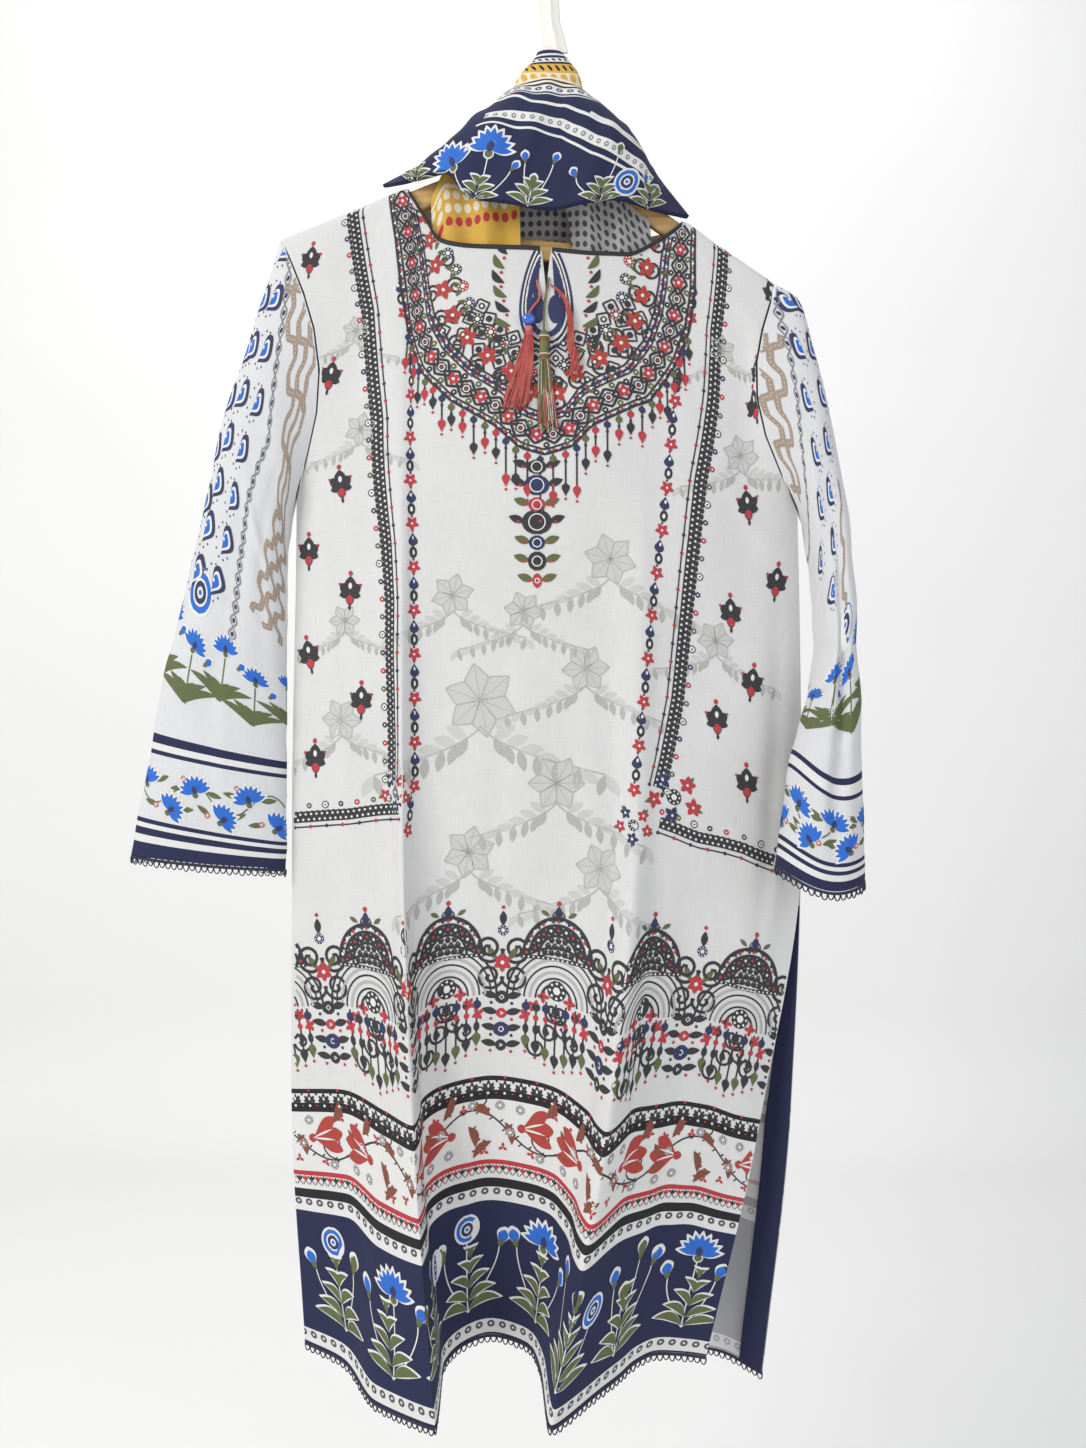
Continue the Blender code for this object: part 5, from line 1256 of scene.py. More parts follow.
def tassel(name, top, radius, head, reach, spread, lean, finishes, seed, rings=()):
    """A wound head with loose strands that spread over the yoke as they fall."""
    x, z = top
    head_y = min(yoke_y(x, z), yoke_y(x, z - head)) - TIE_STAND - 0.75 * radius
    work = Mesh()
    at = np.linspace(0, 1, 26)
    swell = radius * np.interp(at, (0, 0.12, 0.3, 0.5, 0.8, 1.0), (0.5, 1.0, 0.92, 0.86, 0.98, 0.94))
    swell *= 1 - 0.05 * (np.arange(26) % 2)
    points, faces = tube(np.stack((np.full(26, x), np.full(26, 0.0), z - head * at), axis=1), swell, sides=18)
    points[:, 1] = head_y + points[:, 1] * 0.75
    work.add(points, faces, 0)
    for share, ink in rings:
        loop = [(x + radius * 1.03 * math.cos(a), head_y + radius * 0.8 * math.sin(a), z - head * share)
                for a in np.linspace(0, 2 * math.pi, 21)[:-1]]
        work.add(*tube(loop, 0.5, sides=6, closed=True), ink)
    draw = np.random.default_rng(seed)
    steps = np.linspace(0, 1, 12)
    for k in range(TASSEL_STRANDS):
        u, v = draw.uniform(-1, 1), draw.uniform(-1, 1)
        long = reach * draw.uniform(0.86, 1.04)
        wobble = 0.6 * np.sin(steps * draw.uniform(4, 9) + draw.uniform(0, 6)) * steps
        sx = x + radius * 0.85 * u * (1 - steps) + (spread * u * steps ** 0.8 + lean * steps ** 1.4) + wobble
        sz = z - head + 1.0 - long * steps
        lie = np.array([yoke_y(a, b) for a, b in zip(sx, sz)]) - 0.8 - (v + 1) * 1.7
        sy = head_y + 0.6 * radius * v * (1 - steps) + (lie - head_y) * np.minimum(1, 1.6 * steps)
        work.add(*tube(np.stack((sx, sy, sz), axis=1), STRAND_RADIUS, sides=4), k % len(finishes))
    return declare(work.done(name, finishes), name)


tassel("tassel_left", (-16.0, -357.65), 3.6, 8.0, 66.0, 11.0, -12.0,
       [salmon, salmon, red_thread], 21, rings=((0.75, 2),))
tassel("tassel_middle", (-2.6, -362.6), 4.6, 26.0, 62.0, 9.0, 3.0,
       [olive_thread, red_thread, olive_thread, white_thread], 22,
       rings=((0.2, 3), (0.3, 1), (0.8, 3), (0.9, 1)))
SKEIN_TOP = (3.4, -327.0)
SKEIN_ROUTE = ((0, 0), (9, -8), (15, -20), (17, -36), (17, -52), (21, -68), (18, -84))
skein_work = Mesh()
draw = np.random.default_rng(23)
route = np.array(SKEIN_ROUTE, dtype=float)
for k in range(34):
    at = np.linspace(0, draw.uniform(4.6, 6.0), 26)
    dx, dz = glide(np.arange(len(route)), route, at).T
    phase = draw.uniform(0, 2 * math.pi)
    loose = 0.8 + 0.75 * at
    sx = SKEIN_TOP[0] + dx + loose * np.cos(at * 2.6 + phase) * 0.8
    sz = SKEIN_TOP[1] + 6.0 + dz + loose * 0.3 * np.sin(at * 3.0 + phase)
    lie = np.array([yoke_y(a, b) for a, b in zip(sx, sz)])
    sy = lie - 2.2 - loose * (1 + np.sin(at * 2.6 + phase)) * 0.5
    skein_work.add(*tube(np.stack((sx, sy, sz), axis=1), 0.38, sides=4), k % 2)
declare(skein_work.done("tie_skein", [salmon, red_thread]), "tie_skein")


# Inks and threads of the prints
# The prints and the stitched work lie on the lawn as thin shapes, each laid out in millimetres of
# cloth, across the panel and down its grain, and joined into one mesh for each group.
INKS = {
    # name: tone, lighter tone
    "black": ((0.01, 0.01, 0.014), (0.045, 0.045, 0.05)),
    "navy": ((0.012, 0.017, 0.065), (0.035, 0.045, 0.12)),
    "blue": ((0.01, 0.09, 0.44), (0.02, 0.15, 0.56)),
    "sky": ((0.28, 0.4, 0.62), (0.4, 0.5, 0.68)),
    "olive": ((0.065, 0.08, 0.025), (0.13, 0.15, 0.06)),
    "crimson": ((0.34, 0.02, 0.03), (0.46, 0.05, 0.06)),
    "brick": ((0.3, 0.025, 0.02), (0.42, 0.06, 0.05)),
    "white": ((0.6, 0.6, 0.58), (0.7, 0.7, 0.68)),
    "gold": ((0.5, 0.28, 0.05), (0.66, 0.44, 0.12)),
    "grey": ((0.14, 0.14, 0.15), (0.26, 0.26, 0.27)),
    "pale": ((0.31, 0.31, 0.3), (0.44, 0.44, 0.43)),
    "taupe": ((0.25, 0.19, 0.14), (0.36, 0.28, 0.22)),
    "brown": ((0.14, 0.035, 0.02), (0.24, 0.08, 0.05)),
    "mist": ((0.44, 0.44, 0.43), (0.54, 0.54, 0.53)),
}
INK_FINISH = {}
for name, (tone, light) in INKS.items():
    made, tree, shader = new_finish("ink " + name)
    where = put(tree, "ShaderNodeTexCoord")
    cloud = put(tree, "ShaderNodeTexNoise",
                {"Vector": where.outputs["Object"], "Scale": 700.0, "Detail": 2.0})
    two_tones(tree, shader, cloud.outputs["Fac"], tone, light)
    shader.inputs["Roughness"].default_value = 0.8
    INK_FINISH[name] = made

PROFILES = {
    "oval": lambda s: np.sqrt(np.maximum(1 - (2 * s - 1) ** 2, 0)),
    "leaf": lambda s: np.sin(math.pi * s) ** 0.9,
    "drop": lambda s: np.sin(math.pi * s ** 1.7) ** 0.8,
    "bell": lambda s: 0.25 + 0.75 * s ** 2,
    "bar": lambda s: np.ones_like(s),
}
LINE_STEP = 3.0
PRINT_LIFT = 0.22
SKETCH_LIFT = 0.16
STITCH_LIFT = 0.38
HOOD_LIFT = 0.3
LEVEL_STEP = 0.07


def turned(points, x, y, degrees=0.0):
    c, s = math.cos(math.radians(degrees)), math.sin(math.radians(degrees))
    across, down = np.asarray(points, dtype=float).T
    return np.stack((x + across * c - down * s, y + across * s + down * c), axis=1)


def moved(dx, dy, x, y, degrees=0.0):
    """The point that lies dx and dy from x, y, once the two are turned about it."""
    return turned(((dx, dy),), x, y, degrees)[0]


class Print:
    """Flat shapes on one sheet of cloth, gathered for one joined mesh. Positions are width and grain."""

    def __init__(self, chart, stand=PRINT_LIFT):
        self.chart, self.stand, self.count = chart, stand, 0
        self.spots, self.lifts, self.faces, self.inks = [], [], [], []

    def add(self, spots, faces, ink, level):
        spots = np.asarray(spots, dtype=float)
        self.spots.append(spots)
        self.lifts.append(np.full(len(spots), self.stand + LEVEL_STEP * level))
        self.faces += [tuple(int(k) + self.count for k in face) for face in faces]
        self.inks += [ink] * len(faces)
        self.count += len(spots)

    def strip(self, x, y, long, wide, turn, ink, level=0, shape="leaf", bend=0.0):
        """A leaf, drop or oval that starts at x, y and points upward, turned by degrees."""
        count = int(np.clip(math.ceil(long / 2.4), 4, 12))
        s = np.linspace(0.02, 0.98, count + 1)
        half = wide / 2 * PROFILES[shape](s)
        middle, along = bend * np.sin(math.pi * s), -long * s
        local = np.concatenate([np.stack((middle + half * k, along), axis=1) for k in (-1, 0, 1)])
        self.add(turned(local, x, y, turn), strip_faces(2, count + 1), ink, level)

    def oval(self, x, y, wide, tall, ink, level=0, turn=0.0):
        foot = moved(0.0, tall / 2, x, y, turn)
        self.strip(foot[0], foot[1], tall, wide, turn, ink, level, "oval")

    def bead(self, x, y, radius, ink, level=1, sides=6):
        angles = 2 * math.pi * np.arange(sides) / sides
        self.add(np.stack((x + radius * np.cos(angles), y + radius * np.sin(angles)), axis=1),
                 [tuple(range(sides))], ink, level)

    def line(self, points, wide, ink, level=0, closed=False):
        points = np.asarray(points, dtype=float)
        if closed:
            points = np.concatenate((points, points[:1]))
        path, _ = self.along(points, LINE_STEP)
        heading = np.gradient(path, axis=0)
        heading /= np.maximum(np.linalg.norm(heading, axis=1, keepdims=True), 1e-9)
        beside = np.stack((-heading[:, 1], heading[:, 0]), axis=1)
        ranks = np.linspace(-0.5, 0.5, 2 if wide < 4 else 2 + math.ceil(wide / 4))
        spots = np.concatenate([path + beside * wide * rank for rank in ranks])
        self.add(spots, strip_faces(len(ranks) - 1, len(path)), ink, level)

    def ring(self, x, y, radius, thick, ink, level=1, squash=1.0):
        angles = np.linspace(0, 2 * math.pi, 15)
        self.line(np.stack((x + radius * np.cos(angles), y + radius * squash * np.sin(angles)), axis=1),
                  thick, ink, level)

    def curl(self, x, y, radius, turns, ink, level=1, wide=1.0, turn=0.0, hand=1):
        """A scroll that winds in from x, y."""
        angles = np.linspace(0, 2 * math.pi * turns, int(14 * turns))
        size = radius * (1 - angles / angles[-1]) ** 0.8
        local = np.stack((hand * (size * np.cos(angles) - radius), size * np.sin(angles)), axis=1)
        self.line(turned(local, x, y, turn), wide, ink, level)

    @staticmethod
    def along(points, pitch):
        """Points at even steps along a path and their headings in degrees from upward."""
        points = np.asarray(points, dtype=float)
        spots = run_along(points)
        count = max(2, round(spots[-1] / pitch) + 1)
        at = np.linspace(0, spots[-1], count)
        path = np.stack((np.interp(at, spots, points[:, 0]), np.interp(at, spots, points[:, 1])), axis=1)
        heading = np.gradient(path, axis=0)
        return path, np.degrees(np.arctan2(heading[:, 0], -heading[:, 1]))

    def done(self, name, slot_name):
        """Only what lies on the cloth is kept: shapes past its edges are dropped."""
        spots, lifts = np.concatenate(self.spots), np.concatenate(self.lifts)
        chart = self.chart
        low, top = chart["low"], chart["top"]
        high = low + (chart["sheet"].shape[1] - 1) * chart["step"]
        foot = top + (chart["sheet"].shape[0] - 1) * chart["step"]
        width, grain = spots.T
        on = (width > low + 1) & (width < high - 1) & (grain > top) & (grain < foot + 1)
        j = np.clip(((width - low) / chart["step"]).astype(int), 0, chart["sheet"].shape[1] - 1)
        i = np.clip(((grain - top) / chart["step"]).astype(int), 0, chart["sheet"].shape[0] - 1)
        on &= chart["on"][i, j]
        points = on_cloth(chart, width, grain, lifts)
        work = Mesh()
        work.points, work.count = [points], len(points)
        names = sorted(set(self.inks))
        kept = [(face, names.index(ink)) for face, ink in zip(self.faces, self.inks) if on[list(face)].all()]
        used = np.unique([k for face, _ in kept for k in face])
        index = np.zeros(len(points), dtype=int)
        index[used] = np.arange(len(used))
        work.points = [points[used]]
        work.faces = [tuple(int(index[k]) for k in face) for face, _ in kept]
        work.inks = [ink for _, ink in kept]
        made = work.done(name, [INK_FINISH[key] for key in names], smooth=False)
        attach(made, "root")
        return made


def star(work, x, y, size, ink, petals=5, level=1, turn=0.0):
    for k in range(petals):
        work.strip(x, y, size, size * 0.62, turn + 360 * k / petals, ink, level)


def rosette(work, x, y, size, ink, heart="white", level=1):
    work.oval(x, y, size, size, ink, level)
    work.bead(x, y, size * 0.2, heart, level + 1)
    for k in range(8):
        angle = math.pi * k / 4
        work.bead(x + size * 0.36 * math.cos(angle), y + size * 0.36 * math.sin(angle), size * 0.07, heart,
                  level + 1)


def buti(work, x, y, size=1.0, turn=0.0):
    """A small standing flower: crimson bead, black petals, white heart, crimson foot."""
    for angle, long, wide in ((0, 13, 9.5), (-52, 11, 8.0), (52, 11, 8.0), (-105, 9, 6.5), (105, 9, 6.5),
                              (180, 10, 7.0)):
        work.strip(x, y, long * size, wide * size, turn + angle, "black", 1)
    for dx, dy, wide, tall, ink in ((0, -15, 3.6, 4.2, "crimson"), (0, -5.5, 3.0, 5.0, "white"),
                                    (0, 5, 6.0, 7.0, "crimson"), (0, 11, 2.2, 4.5, "black"),
                                    (-8.5, -6.5, 2.2, 2.2, "crimson"), (8.5, -6.5, 2.2, 2.2, "crimson")):
        spot = moved(dx * size, dy * size, x, y, turn)
        work.oval(spot[0], spot[1], wide * size, tall * size, ink, 2, turn)


# Faint sketch print of the front's ground
# Pale grey line flowers and sprays, printed all over the lawn under the darker work.
SKETCH_SPOTS = (
    # pixel of the flower, its size in millimetres, lean in degrees
    (480, 700, 34, -10), (585, 668, 22, 24), (556, 782, 26, -30), (452, 596, 20, 15), (610, 560, 24, -16),
    (524, 610, 18, 40), (340, 720, 20, -24), (716, 640, 18, 20), (360, 430, 16, 8), (740, 455, 18, -14),
    (470, 852, 24, 12), (600, 870, 22, -22), (345, 620, 15, 30), (722, 350, 14, 10), (356, 330, 14, -18),
)


def sketch_flower(work, x, y, size, lean):
    for k in range(6):
        angle = lean + 60 * k
        tip = moved(0.0, -size * 0.5, x, y, angle)
        sides = [moved(side * size * 0.17, -size * 0.3, x, y, angle) for side in (-1, 1)]
        work.strip(x, y, size * 0.52, size * 0.30, angle, "mist", 0)
        work.line(((x, y), sides[0], tip), 0.9, "pale", 1)
        work.line((tip, sides[1], (x, y)), 0.9, "pale", 1)
        work.line(((x, y), tip), 0.6, "pale", 1)
    work.ring(x, y, size * 0.1, 0.6, "pale", 0)
    for hand in (-1, 1):
        stem = [(x + hand * size * (0.25 * s + 0.5 * s * s), y + size * (0.4 * s + 0.35)) for s in
                np.linspace(0, 1.6, 9)]
        work.line(stem, 1.3, "pale", 0)
        for k, (sx, sy) in enumerate(stem[2:]):
            work.strip(sx, sy, size * 0.34, size * 0.15, hand * (60 + 14 * k), "mist", 0)
            work.strip(sx, sy, size * 0.30, size * 0.13, hand * (150 + 8 * k), "pale", 0)


SLIT_HALF = 4.5
SLIT_GRAIN = 331.0
for chart, cloth in ((front_chart, front_cloth), (back_chart, back_cloth)):
    rows = np.arange(chart["sheet"].shape[0]) * chart["step"] + chart["top"]
    columns = np.arange(chart["sheet"].shape[1]) * chart["step"] + chart["low"]
    order = np.argsort(cloth[:, 0, 1])
    near = np.interp(rows, cloth[order, 0, 1], cloth[order, 0, 0])[:, None]
    far = np.interp(rows, np.sort(cloth[:, -1, 1]), cloth[np.argsort(cloth[:, -1, 1]), -1, 0])[:, None]
    tops = np.interp(columns, cloth[0, :, 0], cloth[0, :, 1])[None]
    chart["on"] = (columns[None] > near + 0.5) & (columns[None] < far - 0.5) & (rows[:, None] > tops + 1.5)
slit_rows, slit_columns = (np.arange(size) * front_chart["step"] for size in front_chart["sheet"].shape[:2])
slit_hole = np.abs(slit_columns + front_chart["low"]) < SLIT_HALF
front_chart["on"] &= ~(slit_hole[None] & (slit_rows + front_chart["top"] < SLIT_GRAIN)[:, None])
for chart in (left_chart, right_chart):
    chart["on"] = np.ones(chart["sheet"].shape[:2], dtype=bool)
hood_chart["on"] = np.ones(hood_chart["sheet"].shape[:2], dtype=bool)

sketch = Print(front_chart, SKETCH_LIFT)
for px, py, size, lean in SKETCH_SPOTS:
    (x, y), = at_pixel(front_chart, ((px, py),))
    sketch_flower(sketch, x, y, size * 1.9, lean)
front_sketch = sketch.done("front_sketch_print", "lawn")

# Scattered flowers and drop chains of the front
# Small standing flowers on the sides, and a chain of drops, ovals and stars down each side.
BUTI_PIXELS = (
    (310, 262), (330, 378), (340, 487), (308, 553), (350, 592), (309, 657), (362, 703), (316, 760),
    (773, 295), (778, 375), (755, 407), (748, 508), (776, 584), (730, 615), (716, 722), (752, 686),
    (746, 785),
)
CHAIN_LEFT = ((398, 285), (403, 310), (412, 350), (414, 560), (415, 780), (407, 830))
CHAIN_RIGHT = ((694, 290), (690, 320), (680, 350), (672, 430), (665, 500), (652, 620), (640, 740), (634, 790))
CHAIN_PITCH = 12.6


def drop_chain(work, path):
    spots, headings = work.along(path, CHAIN_PITCH)
    for k, ((x, y), heading) in enumerate(zip(spots, headings)):
        if k % 3 == 0:
            work.strip(x, y - 5, 12.5, 9.0, heading, "navy", 1, "drop")
            work.oval(x, y, 2.2, 3.4, "white", 2, heading)
        elif k % 3 == 1:
            work.oval(x, y, 7.2, 10.8, "black", 1, heading)
            work.oval(x, y, 2.8, 4.6, "white", 2, heading)
        else:
            star(work, x, y, 6.6, "crimson", 5, 1, heading)
            work.bead(x, y, 1.2, "white", 2)
        work.bead(x, y - CHAIN_PITCH / 2, 1.1, "black", 1)


scatter = Print(front_chart)
for k, (x, y) in enumerate(at_pixel(front_chart, BUTI_PIXELS)):
    buti(scatter, x, y, 1.15, 8 * math.sin(2.2 * k))
for route in (CHAIN_LEFT, CHAIN_RIGHT):
    drop_chain(scatter, at_pixel(front_chart, route))
front_scatter = scatter.done("front_scattered_flowers", "lawn")

# Dotted side borders of the front
# A black band with two rows of white dots and a row of knobs down each side, turning in above the arcade.
BORDER_LEFT = ((352, 200), (355, 215), (370, 310), (378, 420), (387, 540), (391, 600), (392, 700), (393, 780))
BORDER_LEFT_TURN = ((284, 819), (300, 817), (350, 813), (398, 810))
BORDER_RIGHT = ((736, 238), (733, 250), (715, 330), (712, 400), (700, 480), (690, 560), (676, 700),
                (665, 760), (657, 787))
BORDER_RIGHT_TURN = ((660, 822), (700, 838), (745, 848), (775, 862))
KNOB_INKS = ("crimson", "olive", "white", "navy")


def dotted_border(work, path, hand):
    work.line(path, 9.5, "black", 0)
    spots, headings = work.along(path, 5.2)
    for (x, y), heading in zip(spots, headings):
        for rank in (-2.3, 2.3):
            dot = moved(rank, 1.3 * (1 if rank > 0 else -1), x, y, heading)
            work.bead(dot[0], dot[1], 1.15, "white", 2)
        edge = moved(hand * 5.6, 0.0, x, y, heading)
        work.strip(edge[0], edge[1] + 2.0, 5.0, 3.4, heading, "black", 0, "oval")
    beside = np.array([moved(-hand * 8.6, 0.0, x, y, heading) for (x, y), heading in
                       zip(*work.along(path, 8.0))])
    work.line(beside, 1.3, "black", 1)
    for k, ((x, y), heading) in enumerate(zip(*work.along(path, 15.8))):
        knob = moved(hand * 9.6, 0.0, x, y, heading)
        ink = KNOB_INKS[k % 4]
        if ink == "white":
            work.oval(knob[0], knob[1], 7.0, 7.0, "black", 1)
        work.oval(knob[0], knob[1], 5.0, 5.0, ink, 2)
        work.bead(knob[0], knob[1], 0.9, "white" if ink != "white" else "black", 3)
        inner = moved(-hand * 8.6, 0.0, x, y, heading)
        work.oval(inner[0], inner[1], 3.4, 3.4, "crimson" if k % 2 else "navy", 2)


def cluster(work, x, y, size):
    """A spray of small flowers with drops, at a corner of the border."""
    for k in range(5):
        angle = math.radians(72 * k + 20)
        fx, fy = x + size * math.cos(angle), y + size * 0.8 * math.sin(angle)
        star(work, fx, fy, size * 0.42, ("crimson", "navy")[k % 2], 5, 1, 20 * k)
        work.bead(fx, fy, 1.3, "white", 3)
        work.strip(fx, fy, size * 0.5, 3.4, math.degrees(angle) + 90, "olive", 1)
    rosette(work, x, y, size * 0.7, "black")


borders = Print(front_chart)
for route, hand in ((BORDER_LEFT, 1), (BORDER_LEFT_TURN, -1), (BORDER_RIGHT, -1), (BORDER_RIGHT_TURN, -1)):
    dotted_border(borders, at_pixel(front_chart, route), hand)
for pixel, size in (((395, 792), 15), ((674, 797), 20), ((632, 826), 14)):
    (x, y), = at_pixel(front_chart, (pixel,))
    cluster(borders, x, y, size)
front_borders = borders.done("front_side_borders", "lawn")

# Stitched yoke
# Thread embroidery in a deep U round the neck slit: a dotted lattice band with beaded rims, scrolls and
# flowers inside it, drops hanging below and a pendant at the centre.
YOKE_EDGE = ((391, 196), (397, 240), (403, 290), (408, 330), (420, 370), (450, 400), (495, 425), (520, 447),
             (545, 454), (572, 446), (592, 425), (650, 400), (675, 365), (690, 330), (694, 290), (695, 250),
             (694, 228))
YOKE_RIM_INKS = ("crimson", "white", "navy")
stitched = Print(front_chart, STITCH_LIFT)
outer_edge, _ = stitched.along(at_pixel(front_chart, YOKE_EDGE), 6.0)
YOKE_CENTRE = np.array((0.0, 300.0))
PENDANT_X = -9.0


def drawn_in(path, reach):
    inward = YOKE_CENTRE - path
    return path + inward / np.linalg.norm(inward, axis=1, keepdims=True) * reach


for reach, wide, ink in ((0, 2.8, "black"), (4.0, 1.8, "black"), (28, 1.8, "black"), (31.5, 2.6, "navy"),
                         (36, 1.8, "black")):
    stitched.line(drawn_in(outer_edge, reach), wide, ink, 1)
for reach, pitch, radius in ((1.8, 4.0, 1.25), (29.7, 4.0, 1.25), (33.5, 3.6, 1.1)):
    for k, (x, y) in enumerate(stitched.along(drawn_in(outer_edge, reach), pitch)[0]):
        stitched.bead(x, y, radius, YOKE_RIM_INKS[k % 3], 3)
band, headings = stitched.along(drawn_in(outer_edge, 15.5), 15.0)
for k, ((x, y), heading) in enumerate(zip(band, headings)):
    corners = turned(((0, -11), (8.5, 0), (0, 11), (-8.5, 0)), x, y, heading)
    stitched.line(corners, 2.4, "black", 1, closed=True)
    if k % 2:
        stitched.oval(x, y, 9.5, 9.5, "black", 2)
        stitched.ring(x, y, 3.0, 1.1, "white", 3)
        stitched.bead(x, y, 1.2, "crimson", 4)
    else:
        star(stitched, x, y, 6.4, "crimson", 5, 2, heading)
        stitched.oval(x, y, 3.0, 3.0, "white", 3)
    for side in (-1, 1):
        dot = moved(side * 8.5, 7.5, x, y, heading)
        stitched.oval(dot[0], dot[1], 5.6, 5.6, "black" if k % 2 else "olive", 2)
        stitched.bead(dot[0], dot[1], 0.9, "white", 4)
inside, headings = stitched.along(drawn_in(outer_edge, 50), 25.0)
for k, ((x, y), heading) in enumerate(zip(inside, headings)):
    for hand in (-1, 1):
        stitched.curl(x + hand * 3, y, 9.0, 1.7, "black", 1, 2.2, heading, hand)
    star(stitched, x, y, 9.5, "brick", 5, 2, heading)
    stitched.oval(x, y, 3.4, 3.4, "white", 3)
    tip = moved(0, -14, x, y, heading + 90)
    stitched.strip(tip[0], tip[1], 10, 5.0, heading + 90, "olive", 1)
ring3, headings = stitched.along(drawn_in(outer_edge, 68), 17.0)
for k, ((x, y), heading) in enumerate(zip(ring3, headings)):
    if abs(x) > 22 or y > 385:
        rosette(stitched, x, y, 10.5, ("black", "crimson", "navy")[k % 3])
        stitched.strip(x, y, 11, 4.4, heading + 55, "olive", 1)
        stitched.strip(x, y, 11, 4.4, heading + 125, "olive", 1)
garland, headings = stitched.along(outer_edge[8:-8], 11.5)
for k, ((x, y), heading) in enumerate(zip(garland, headings)):
    if 350 < y:
        long = 16 + 12 * (k % 3 == 1) + 22 * math.exp(-(x / 40) ** 2)
        stitched.line(((x, y + 2), (x, y + long)), 1.5, "black", 1)
        stitched.oval(x, y + 6, 6.4, 6.4, ("crimson", "navy", "olive")[k % 3], 2)
        stitched.oval(x, y + 12, 2.6, 3.4, "black", 2)
        stitched.strip(x, y + long + 8, 12, 7.4, 0, ("black", "crimson")[k % 2], 2, "drop")
        stitched.bead(x, y + long + 10, 1.3, "crimson", 3)
for y, wide, tall, ink in ((482, 17, 13, "black"), (498, 22, 18, "navy"), (515, 15, 13, "crimson"),
                           (530, 26, 22, "black"), (548, 14, 13, "navy"), (564, 16, 17, "black"),
                           (581, 8, 13, "crimson")):
    stitched.oval(PENDANT_X, y, wide, tall, ink, 2)
    stitched.ring(PENDANT_X, y, wide * 0.28, 1.0, "white", 3)
    for hand in (-1, 1):
        stitched.strip(PENDANT_X + hand * wide * 0.4, y, 15, 7.0, hand * 70,
                       "black" if wide > 16 else "olive", 1)
        stitched.bead(PENDANT_X + hand * (wide * 0.5 + 3.4), y, 1.5, "crimson", 2)
for hand in (-1, 1):
    stitched.strip(hand * 8.5, 352, 66, 14, hand * -3, "navy", 1, "drop")
    stitched.oval(hand * 8, 342, 13, 26, "navy", 1)
lattice_angles = np.linspace(-1.25, 1.25, 11)
for k, angle in enumerate(lattice_angles):
    for rank, reach in enumerate((52, 64, 76, 88)):
        x = reach * 1.15 * math.sin(angle + 0.11 * (rank % 2))
        y = 322 + reach * math.cos(angle + 0.11 * (rank % 2))
        diamond = turned(((0, -7.5), (7.5, 0), (0, 7.5), (-7.5, 0)), x, y, math.degrees(-angle))
        stitched.line(diamond, 1.7, "black", 1, closed=True)
        stitched.oval(x, y, 6.0, 6.0, "black", 2)
        if (k + rank) % 3 == 0:
            stitched.bead(x, y, 1.5, "white", 3)
for reach, wide, ink in ((0.0, 5.0, "navy"), (3.6, 1.6, "white"), (5.4, 1.6, "black"), (7.2, 1.4, "white"),
                         (9.4, 2.2, "navy")):
    angle = np.linspace(0.10, 2 * math.pi - 0.10, 46)
    half_wide, half_tall = 19.0 + reach, 25.0 + reach
    x = half_wide * np.sin(angle) * (0.55 + 0.45 * (1 - np.cos(angle)) / 2)
    y = 331.0 - half_tall * 1.35 * np.cos(angle)
    y = np.where(y < 331, 331 - (331 - y) * 1.1, y)
    stitched.line(np.stack((x, y), axis=1), wide, ink, 2)
for hand in (-1, 1):
    for k in range(7):
        y = 292 + 13 * k
        stitched.strip(hand * (34 + 3 * math.sin(k)), y, 17, 6.5, hand * (28 + 6 * k),
                       "olive" if k % 2 else "black", 2, bend=hand * 2.5)
        stitched.bead(hand * (37 + 3 * math.sin(k)), y + 3, 1.6, "crimson", 3)
front_yoke = stitched.done("front_yoke_stitching", "lawn")

# Arcade border of the front
# A printed row of lattice domes on striped arches, with scrolls between them and drops hanging below.
DOME_PITCH = 97.0
DOME_FIRST = -281.0
DOME_BASE = 905.0
arcade = Print(front_chart)


